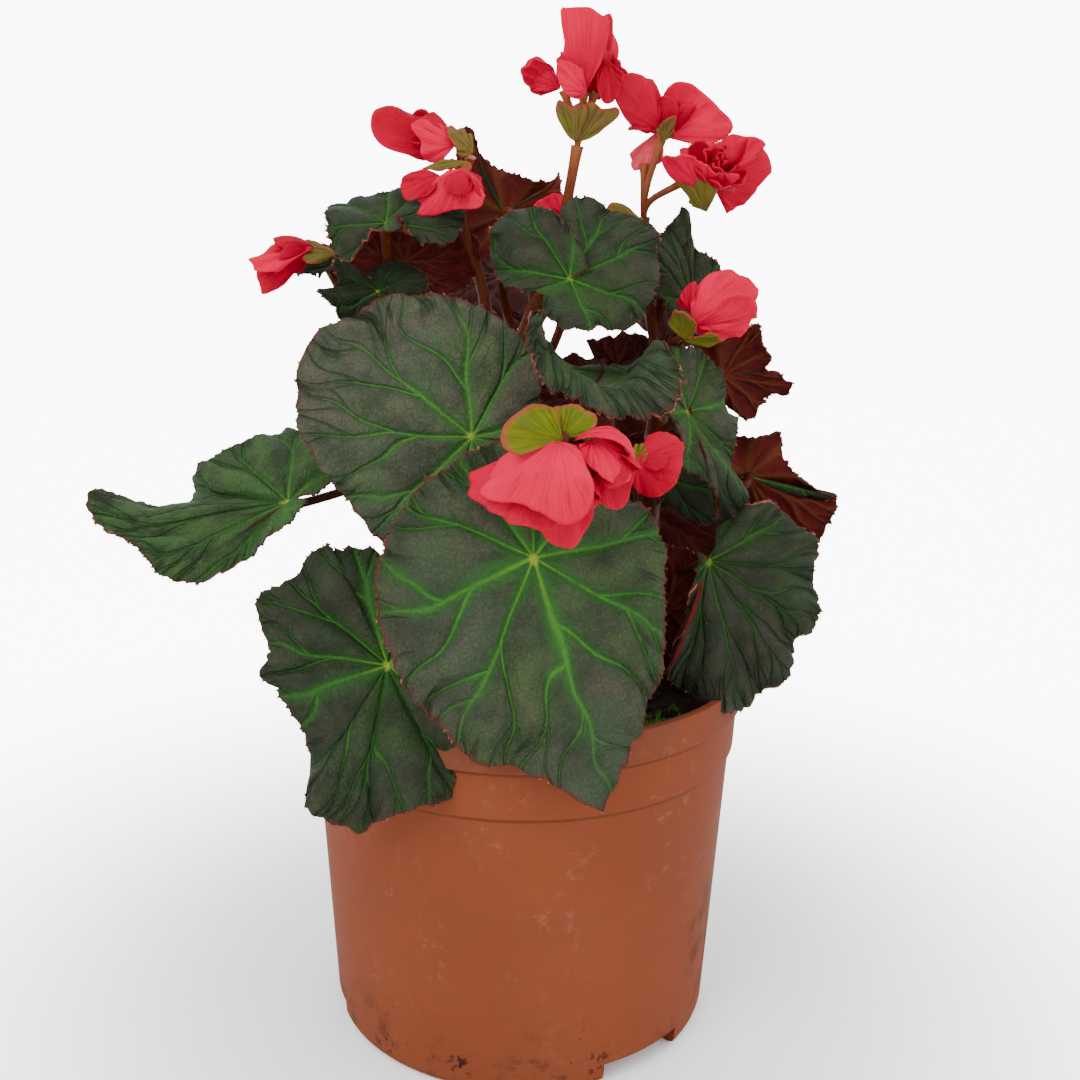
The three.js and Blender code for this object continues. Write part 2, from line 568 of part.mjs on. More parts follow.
function petalSolid(bloom) {
  const frame = bloomFrame(bloom);
  const layers = HABITS[bloom.habit];
  const seat = PETAL_THICKNESS / 2 + CLEARANCE / 2;
  const solids = layers.map((layer, depth) => layerSolid(
    layer, bloom.length * layer.share, seat + layer.lift, frame,
    depth > 0 ? INNER_PETAL_COLUMNS : OUTER_PETAL_COLUMNS));
  if (layers.length > 1) {
    const top = layers[layers.length - 1].lift + seat;
    const core = new THREE.CylinderGeometry(CORE_RADIUS, CORE_RADIUS, top - seat, STALK_SIDES);
    core.rotateX(Math.PI / 2);
    core.translate(0, 0, (top + seat) / 2);
    core.applyMatrix4(frame);
    solids.push(toSolid(core));
  }
  return join(solids);
}

function calyxSolid(bloom) {
  const height = -(PETAL_THICKNESS / 2 + CLEARANCE / 2);
  return layerSolid(
    CALYX, bloom.length * CALYX_SHARE, height, bloomFrame(bloom), OUTER_PETAL_COLUMNS);
}

// A flower stalk from its stem to its joint, and from the joint to the foot of each bloom
for (const [name, stalk] of Object.entries(STALKS)) {
  const solids = stemSolids[stalk.stem];
  const route = [stemCurves[stalk.stem].getPoint(stalk.from ?? 0.96), ...stalk.points.map(vector)];
  const joint = route[route.length - 1];
  solids.push(bar(route, PEDUNCLE_RADIUS, STALK_SIDES, 2 * route.length));
  for (const bloom of BLOOMS.filter((item) => item.stalk === name)) {
    const frame = bloomFrame(bloom);
    const foot = bloom.bare ? -CLEARANCE / 2 : -PETAL_THICKNESS - CLEARANCE * 1.5;
    const end = new THREE.Vector3(0, 0, foot).applyMatrix4(frame);
    const entry = new THREE.Vector3(0, 0, foot - 5).applyMatrix4(frame);
    const curve = new THREE.CubicBezierCurve3(joint, joint.clone().lerp(entry, 0.6), entry, end);
    solids.push(barAlong(curve, PEDICEL_RADIUS, STALK_SIDES, 4));
  }
}

for (const leaf of LEAVES) {
  addPiece(`leaf_${leaf.name}`, bladeSolid(leaf), 'leaf');
  addStalk(leaf);
}
for (const bloom of BLOOMS) {
  addPiece(`bloom_${bloom.name}`, petalSolid(bloom), 'petal');
  if (!bloom.bare) {
    addPiece(`calyx_${bloom.name}`, calyxSolid(bloom), 'bract');
  }
}
for (const [name, solids] of Object.entries(stemSolids)) {
  addPiece(`stem_${name}`, join(solids), 'stem');
}
const holes = Object.values(STEMS).map((points) => {
  const [foot, above] = [vector(points[0]), vector(points[1])];
  const along = above.clone().sub(foot).normalize();
  const start = foot.clone().addScaledVector(along, -CLEARANCE);
  const end = foot.clone().addScaledVector(along, HOLE_REACH);
  return bar([start, end], STEM_RADIUS + 3 * CLEARANCE, HOLE_SIDES, 1);
});
addPiece('pot', potSolid(), 'pot');
addPiece('soil', soilSolid(holes), 'soil');

export default group;
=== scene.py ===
"""A begonia in flower, growing in a terracotta-coloured plastic nursery pot."""

import bisect
import math
import random

import bmesh
import bpy
from bpy.props import FloatProperty, FloatVectorProperty, IntProperty, PointerProperty
from mathutils import Matrix, Vector, noise


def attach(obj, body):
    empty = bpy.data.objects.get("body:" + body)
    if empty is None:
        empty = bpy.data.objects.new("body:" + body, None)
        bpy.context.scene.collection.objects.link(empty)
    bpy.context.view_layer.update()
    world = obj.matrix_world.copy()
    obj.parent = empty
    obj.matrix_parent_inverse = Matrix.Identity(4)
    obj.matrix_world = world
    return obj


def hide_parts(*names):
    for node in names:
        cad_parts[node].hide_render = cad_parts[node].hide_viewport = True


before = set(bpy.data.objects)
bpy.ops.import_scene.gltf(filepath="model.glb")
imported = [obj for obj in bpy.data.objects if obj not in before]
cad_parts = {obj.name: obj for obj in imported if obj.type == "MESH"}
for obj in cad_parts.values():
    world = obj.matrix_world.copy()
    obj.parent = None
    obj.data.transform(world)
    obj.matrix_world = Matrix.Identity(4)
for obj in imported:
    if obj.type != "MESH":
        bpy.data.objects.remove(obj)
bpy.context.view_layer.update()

bl_info = {
    "name": "Potted begonia",
    "version": (1, 0, 0),
    "blender": (4, 5, 0),
    "location": "3D View > Sidebar > Begonia",
    "description": "Builds a begonia in flower in a plastic nursery pot",
    "category": "Object",
}

MM = 0.001


class Sheet:
    """A leaf blade, a petal or a bract, with the values for what the tables leave out."""

    tone = green = cup = wave = phase = point = lap = bowl = 0
    vivid, waves, drop, fan = 0.6, 7, 0.3, 186
    bends = (0, 0, 0)
    frayed, edge, ridge, reach = None, (), (), ()

    def __init__(self, hub, aim, face, size, **shape):
        self.hub, self.aim, self.face, self.size = Vector(hub), Vector(aim), Vector(face), size
        vars(self).update(shape)


def leaf(stem, start, hub, aim, face, size, tone, **shape):
    return Sheet(hub, aim, face, size, stem=stem, start=start, tone=tone, **shape)


def petal(hub, aim, face, size, fan, bends, reach, tone=0, cup=0):
    return Sheet(hub, aim, face, size, fan=fan, bends=bends, reach=reach, tone=tone, cup=cup)


# The tables below are in millimetres, as the solids are, and their angles are in degrees.

# Leaf blades: the stem, how far up it the stalk leaves, the hub where the stalk joins the blade,
# the way of the midrib, the way the upper side looks, the size from hub to tip, and the tone from
# dark to pale. Bends are how far the tip, the left, the right and the base turn down. Reach is the
# outline's radius at even steps from one side of the stalk slit round the tip to the other.
# A traced blade has, in place of a reach, its edge: points round it from one side of the slit to
# the other. Ridge holds the points half way from the hub to the edge where it isn't straight there.
# Point sharpens the tip, frayed is the angle of a torn stretch, and lap lifts the last end over the
# first. Green and vivid say how green the blade and its veins are.
LEAVES = {
    "front": leaf("front_right", 0.4, (2, -68, 159), (3, -2, -10), (0, -9, 4), 66, 0.6,
        bends=(14, 14, 14, 18), cup=-0.06, wave=2, green=0.06, vivid=0.95, point=0.08, frayed=-0.3,
        reach=(30, 30, 29, 28, 28, 28, 32, 34, 34, 38, 46, 54, 64, 56, 54, 48, 45, 42, 40, 37, 34,
        33, 30, 30, 29)),
    "front_left_upper": leaf("front_left", 0.75, (-14, -40, 183), (-10, -1, 0), (-2, -9, 3), 52,
        0.9, bends=(18, 4, 14, 10), cup=-0.05, wave=1.5, vivid=0.55, reach=(19, 17, 16, 16, 14, 15,
        16, 20, 29, 36, 36, 39, 44, 48, 52, 46, 44, 40, 36, 32, 28, 24, 20, 19, 18)),
    "left_lower": leaf("front_left", 0.3, (-35, -54, 125.9), (-4, -4, -10), (-4, -9, 4), 52,
        0.27, wave=2.5, phase=60, green=0.22, vivid=1, edge=((-29.1, -48, 148.3),
        (-21.7, -52, 137.6), (-16.4, -56, 125.5), (-13.6, -60, 113.5), (-15.1, -62, 104.5),
        (-18.3, -64, 96.2), (-18.8, -65, 93), (-26.3, -66, 91.8), (-35.3, -66, 88),
        (-40.3, -65, 85.2), (-42.2, -65, 83.2), (-52.1, -63, 87.5), (-55.7, -61, 90.7),
        (-55.4, -59, 100.4), (-58.3, -57, 110.6), (-64.4, -54, 119.3), (-69.4, -52, 121.2),
        (-67, -51, 126.6), (-67, -50, 131.5), (-69.5, -46, 140.8), (-65.1, -44, 144),
        (-60.5, -43, 147), (-55.5, -42, 153), (-52.1, -42, 154.1), (-50.1, -42, 153.1),
        (-48.2, -42, 154.2), (-40.4, -44, 154.6), (-30.9, -47, 150.7))),
    "far_left": leaf("back_left", 0.62, (-65.6, -18, 159.7), (-10, -1, -1), (0, -6, 8), 54,
        0.58, drop=0.06, wave=1, waves=5, green=0.9, vivid=0.3, ridge=((-62.5, -20, 161.2),
        (-64.9, -22, 159.2), (-67, -24, 156.7), (-70.4, -26, 153.4), (-75.1, -27, 151.1),
        (-79.5, -27, 150), (-83.5, -27, 150.8), (-89.8, -26, 151), (-98.1, -25, 152),
        (-102.9, -22, 153.1), (-101.5, -19, 154.1), (-98.4, -16, 153.9), (-94.1, -13, 154.7),
        (-88.3, -11, 156.3), (-84.7, -9, 158.2), (-82.4, -8, 162), (-77.8, -7, 164.5),
        (-74.5, -6, 166.9), (-70.2, -6, 168.4), (-65.3, -7, 169), (-60.2, -10, 167.2),
        (-59.3, -15, 163.4), (-61.9, -18, 161.7)), edge=((-60, -22, 162.4), (-64.3, -26, 158.8),
        (-68.2, -29, 154.3), (-74.3, -32, 148.3), (-82.9, -34, 144.1), (-90.8, -35, 142),
        (-98.1, -34, 143.6), (-104.2, -31, 149.4), (-113.6, -26, 154.3), (-120.8, -18, 161.5),
        (-117.8, -14, 162.1), (-111.8, -12, 157.7), (-106, -8, 155.9), (-99.1, -4, 155.6),
        (-96.3, -2, 158.4), (-96.1, 1, 163.9), (-87.8, 2, 168.5), (-81.8, 3, 172.8),
        (-73.9, 3, 175.5), (-65.1, 2, 176.7), (-55.7, -4, 173.3), (-54.2, -12, 166.4),
        (-58.9, -18, 163.4))),
    "centre_upper": leaf("back_middle", 0.58, (11, -15, 221.1), (0, -9, -5), (0, -5, 9), 38,
        0.4, wave=2, lap=6, green=0.06, vivid=0.6, edge=((12.9, -12, 225.7), (12, -9, 232.6),
        (11.1, -7, 240.1), (13.2, -6, 242.5), (18.4, -5, 242), (21.9, -6, 239.7), (27.1, -7, 237.7),
        (31.8, -9, 235.5), (34.9, -11, 233.5), (34.4, -13, 229.2), (35.1, -16, 223.6),
        (34, -19, 217.8), (30.7, -22, 212.8), (25.4, -24, 209.8), (20.4, -25, 210.1),
        (16.2, -26, 208.3), (10.9, -26, 209.3), (7.2, -25, 211.5), (4.4, -23, 214.1),
        (3.3, -21, 218.1), (-0.7, -21, 216.7), (-4.9, -19, 218.6), (-8.4, -17, 222.3),
        (-10.4, -15, 227.3), (-11, -13, 231.7), (-9.2, -11, 235), (-5.8, -9, 238.4),
        (0.1, -8, 240.8), (4.9, -8, 239.5), (8.9, -10, 237.3), (11.6, -12, 234), (13, -13, 228.9),
        (13.4, -13, 224.7))),
    "centre_cup": leaf("front_right", 0.9, (15, -32, 194), (1, -9, -3), (0, -3, 9), 36, 0.58,
        bowl=1, green=0.3, vivid=0.25, ridge=((20.8, -14, 196.8), (27.4, -20, 197.4),
        (31.2, -30, 204.1), (32.6, -34, 206.2), (29.1, -37, 203.4), (25.9, -40, 200.2),
        (23.3, -42, 196.7), (20, -44, 195.4), (16.2, -44, 197.1), (11.6, -44, 200.6),
        (7.3, -43, 203.9), (4.5, -42, 207.5), (3.4, -41, 212.1), (3.2, -40, 214.7),
        (3.8, -37, 208.1), (9, -28, 200.4), (19.6, -16, 196.8)), edge=((20.9, -12, 197.3),
        (28.6, -18, 198.8), (32.8, -31, 206.3), (35.3, -38, 205.7), (39.4, -42, 200.4),
        (39.3, -46, 196.5), (35.1, -50, 191.1), (27.8, -53, 190), (20.9, -53, 190.4),
        (13, -52, 193.6), (4.8, -50, 197.2), (1, -48, 204.5), (-1.3, -46, 210.8), (2.4, -42, 215.4),
        (3.5, -36, 210.1), (8.5, -26, 200.9), (19.7, -14, 197.6))),
    "right_centre": leaf("front_right", 0.8, (43.6, -14, 185.8), (5, -2, -9), (-5, -9, 2), 44,
        0.8, wave=2.5, vivid=0.35, edge=((38.4, -14, 193.2), (37, -10, 202.5), (40.3, -10, 203.3),
        (43.9, -9, 203.5), (47.4, -8, 203.5), (49.8, -7, 201.5), (51.6, -7, 197.9),
        (53.4, -8, 193.3), (55.9, -8, 188.3), (58.4, -9, 184.6), (59.3, -9, 183.2),
        (57.7, -10, 180.5), (57.5, -11, 176.2), (58.4, -12, 170.7), (59, -13, 166.7),
        (61.4, -14, 161.2), (63.1, -14, 155.5), (63.8, -12, 149.1), (62.9, -12, 145),
        (59.6, -14, 152.5), (55.4, -15, 155.9), (54.1, -16, 161.6), (50.2, -18, 163.4),
        (47.6, -19, 168.4), (44, -20, 173.4), (40.6, -20, 179.1), (38.4, -19, 183.6),
        (38.8, -17, 188.2), (38, -15, 192.5))),
    "right_centre_low": leaf("back_right", 0.55, (42, 4, 163), (5, -3, -9), (-3, -9, 2), 30,
        0.37, bends=(20, 10, 20), wave=1.5, reach=(7, 10, 10, 12, 12, 14, 14, 15, 16, 18, 19, 19,
        14, 10, 8, 7, 6, 5, 4, 4, 5, 5, 6, 6, 9)),
    "right_lower": leaf("back_right", 0.4, (50, -24, 146.2), (4, -4, -10), (3, -9, 4), 46, 0.34,
        wave=3, vivid=0.3, edge=((54, -22, 153.1), (58.4, -20, 158.4), (62.3, -19, 161.8),
        (67.1, -18, 162.2), (71.4, -18, 160.3), (75.9, -18, 155.5), (80.9, -18, 151.2),
        (81.9, -19, 141.7), (82.6, -20, 136.1), (82, -21, 130), (81, -22, 125), (78.1, -23, 123.2),
        (76.1, -25, 118.6), (71.9, -27, 112.1), (66.9, -29, 109.3), (62.7, -31, 104.7),
        (54, -33, 105.4), (49.1, -34, 108.1), (44.8, -34, 111), (40, -34, 113.9), (38.6, -33, 119),
        (41.2, -32, 124.5), (44.4, -31, 128.5), (44.1, -29, 133.6), (43.8, -28, 138.2),
        (45.7, -27, 141.6), (47.9, -26, 143.3), (49.6, -24, 148.5))),
    "right_behind": leaf("back_right", 0.6, (65.8, 11, 162.6), (9, 2, -3), (1, 9, 3), 40, 0.25,
        wave=2, waves=5, edge=((61.7, 9, 161.8), (65.2, 10, 154), (73.3, 11, 145.5),
        (81.3, 12, 141.3), (88.3, 12, 141.7), (90.8, 12, 148.6), (93.4, 12, 154.8), (93.5, 12, 157),
        (90.2, 12, 157.2), (85.6, 12, 159.3), (80.2, 12, 163.8), (77, 12, 168), (74.7, 12, 175.8),
        (71.2, 12, 175.2), (66.2, 12, 174.5), (61.3, 11, 174.6), (57.5, 10, 170.6),
        (60.1, 9, 163.3))),
    "right_upper_behind": leaf("back_right", 0.85, (57, 14, 191.9), (9, 1, -4), (0, 8, 4), 30,
        0.25, wave=2, waves=5, edge=((50.5, 12, 188.5), (58.9, 14, 184.8), (63.6, 16, 179.2),
        (67.9, 17, 179.3), (70.4, 17, 182.7), (73.4, 18, 185.6), (76.9, 18, 185.9), (78, 18, 188.6),
        (77.6, 18, 190.4), (73.9, 16, 191.8), (70.3, 15, 193.7), (71.1, 14, 197.6),
        (68.9, 13, 201.5), (67.9, 12, 206.2), (65.8, 12, 207.4), (61.3, 12, 205.6),
        (52.5, 12, 204.5), (49, 12, 199), (49.5, 12, 192))),
    "right_upper": leaf("back_right", 0.95, (46, 6, 213.9), (-1, 1, 10), (-2, -9, 0), 30, 0.6,
        wave=2, waves=5, vivid=0.4, edge=((45.9, 4, 206.2), (41.4, 2, 207), (37.4, 1, 212.6),
        (35.7, 1, 217.6), (34.6, 2, 223.5), (33.6, 3, 229.4), (35.2, 4, 232.7), (38.6, 5, 233.8),
        (40.4, 7, 237.5), (41.8, 8, 240.2), (43.2, 8, 240), (44.1, 8, 237), (44.3, 8, 233.2),
        (47, 8, 228.8), (50.5, 8, 226.4), (54, 8, 224.2), (56.2, 7, 217.3), (55, 6, 210.4),
        (50.3, 5, 206.2), (46.5, 4, 205.7))),
    "left_upper": leaf("back_left", 0.95, (-38.1, -12, 234.9), (-8, -5, -2), (-1, -6, 7), 30,
        0.36, wave=2, waves=5, green=0.1, edge=((-33.5, -13, 237.5), (-35.7, -18, 233.8),
        (-39.4, -21, 230.3), (-43.6, -23, 227.3), (-47.9, -22, 226.4), (-51.5, -20, 228.8),
        (-53.8, -16, 233.5), (-54.2, -12, 238), (-52.4, -8, 240.5), (-47.1, -5, 241.9),
        (-40.6, -3, 242.2), (-34.8, -1, 244.1), (-28, 0, 246.3), (-22.3, 0, 246.9),
        (-17.8, -3, 243.8), (-17.1, -7, 238.1), (-19.3, -12, 232.3), (-23.3, -16, 229.3),
        (-28.2, -17, 230.6), (-31.8, -15, 233), (-33.9, -12, 237.3))),
    "back_upper": leaf("back_middle", 0.9, (-7.1, 22, 237), (2, 5, 8), (0, 8, 4), 38, 0.12,
        wave=2, waves=5, edge=((-6.9, 14, 223.8), (1.7, 16, 224.9), (7.7, 18, 230), (9.7, 20, 237),
        (9.6, 22, 244), (8.6, 24, 249.5), (6.7, 25, 247.5), (4.1, 26, 245.5), (0.3, 26, 245.5),
        (-5.3, 27, 248.2), (-11.7, 27, 252.6), (-16.3, 27, 256.4), (-19.5, 27, 260.8),
        (-20.9, 26, 254.7), (-23.1, 24, 246.3), (-24.2, 22, 237.9), (-22.9, 19, 229.5),
        (-15.6, 16, 223.6), (-8.3, 14, 223.2))),
    "young_left": leaf("back_left", 0.9, (-55.6, 4, 222.1), (-8, -2, -3), (-1, -6, 7), 15, 0.22,
        wave=1.5, waves=5, edge=((-49, 0, 220.3), (-53.3, -1, 220), (-58.4, 0, 221.2),
        (-62.1, 2, 219.7), (-65.4, 4, 220.8), (-64.5, 6, 223.5), (-62.8, 8, 225.6),
        (-59.6, 9, 227.8), (-56, 8, 227.3), (-51.4, 7, 226.4), (-48.3, 4, 223.8),
        (-48.4, 0, 220.3))),
    "young_left_low": leaf("back_left", 0.8, (-40.3, -14, 217.2), (-8, -3, -2), (-1, -5, 7), 16,
        0.15, wave=2, waves=5, edge=((-33.2, -17, 213.3), (-39.4, -19, 207.6), (-47, -18, 205.8),
        (-49.8, -17, 207.2), (-51.7, -16, 211.9), (-56.6, -14, 217.5), (-52.9, -12, 218.1),
        (-50.8, -11, 221), (-52.5, -10, 223.6), (-47.9, -8, 224), (-42.5, -8, 223),
        (-37.1, -8, 223.7), (-31.6, -9, 224.9), (-28.2, -11, 222.9), (-26.4, -14, 217.9),
        (-27.8, -17, 213.4), (-32.6, -17, 213.3))),
    "inner_left": leaf("back_left", 0.85, (-33.7, -6, 224.6), (2, -8, -4), (0, -5, 8), 18, 0.12,
        wave=1, waves=5, edge=((-24.1, -8, 214.7), (-16.1, -4, 218.6), (-13.5, -1, 224.6),
        (-14.7, 1, 231), (-20.5, 2, 235.2), (-27.4, 2, 237), (-35, 1, 239.3), (-41, 0, 235),
        (-47.2, -2, 230.1), (-50.9, -5, 226.5), (-49.8, -8, 222.9), (-46.1, -10, 221),
        (-41.2, -11, 219.8), (-36.1, -11, 217.5), (-30.7, -11, 214.9), (-24.6, -9, 214.3))),
    "left_side": leaf("back_left", 0.6, (-52, 31, 169), (-7, 4, -5), (-5, 3, 7), 26, 0.31,
        bends=(20, 12, 12), wave=2),
    "left_side_low": leaf("back_left", 0.3, (-48, 20, 116), (-8, 3, -6), (-6, 0, 7), 24, 0.19,
        bends=(20, 12, 12), wave=2),
    "back_low_left": leaf("back_left", 0.4, (-24, 48, 147), (-4, 8, -6), (-4, 6, 7), 36, 0.25,
        bends=(25, 14, 14), wave=2.5),
    "back_low_middle": leaf("back_middle", 0.25, (2, 62, 132), (0, 8, -7), (0, 7, 6), 48, 0.19,
        bends=(20, 14, 14), wave=2.5),
    "back_low_right": leaf("back_right", 0.3, (38, 50, 145), (3, 5, -9), (4, 8, 3), 40, 0.31,
        bends=(25, 14, 14), wave=2.5, reach=(26, 26, 26, 24, 24, 25, 26, 27, 28, 30, 33, 37, 40, 37,
        34, 32, 31, 30, 30, 31, 32, 33, 33, 32, 30)),
    "inner_right": leaf("front_right", 0.3, (41, -8, 127), (1, 0, -10), (1, 9, 2), 22, 0.12,
        wave=1, waves=5, reach=(13, 10, 9, 10, 12, 16, 20, 16, 13, 13, 15, 19, 20)),
    "right_side": leaf("back_right", 0.62, (57, 34, 165), (8, 5, -7), (6, 3, 7), 30, 0.25,
        bends=(20, 12, 12), wave=2, reach=(22, 22, 21, 20, 19, 19, 20, 21, 22, 23, 25, 27, 30, 27,
        25, 23, 22, 21, 20, 19, 19, 20, 21, 22, 22)),
    "right_side_low": leaf("back_right", 0.2, (56, 14, 126), (9, 3, -5), (4, 0, 8), 30, 0.19,
        bends=(20, 12, 12), wave=2),
    "back_middle_left": leaf("back_middle", 0.6, (-28, 38, 188), (-4, 8, -5), (-2, 6, 7), 40,
        0.37, bends=(20, 12, 12), wave=2),
    "back_middle_right": leaf("back_right", 0.55, (26, 46, 182), (2, 7, -6.5), (1, 6.6, 6.6),
        34, 0.25, bends=(20, 12, 12), wave=2, reach=(21, 22, 23, 24, 26, 28, 30, 30, 28, 27, 28, 30,
        34, 31, 29, 27, 26, 25, 25, 26, 28, 30, 31, 30, 28)),
    "back_top": leaf("back_middle", 0.75, (-8, 42, 218), (-2, 9, -4), (0, 5, 8), 36, 0.31,
        bends=(20, 12, 12), wave=2),
    "back_top_right": leaf("back_right", 0.75, (40, 28, 212), (5, 7, -4), (3, 4, 8), 30, 0.37,
        bends=(20, 12, 12), wave=2),
}

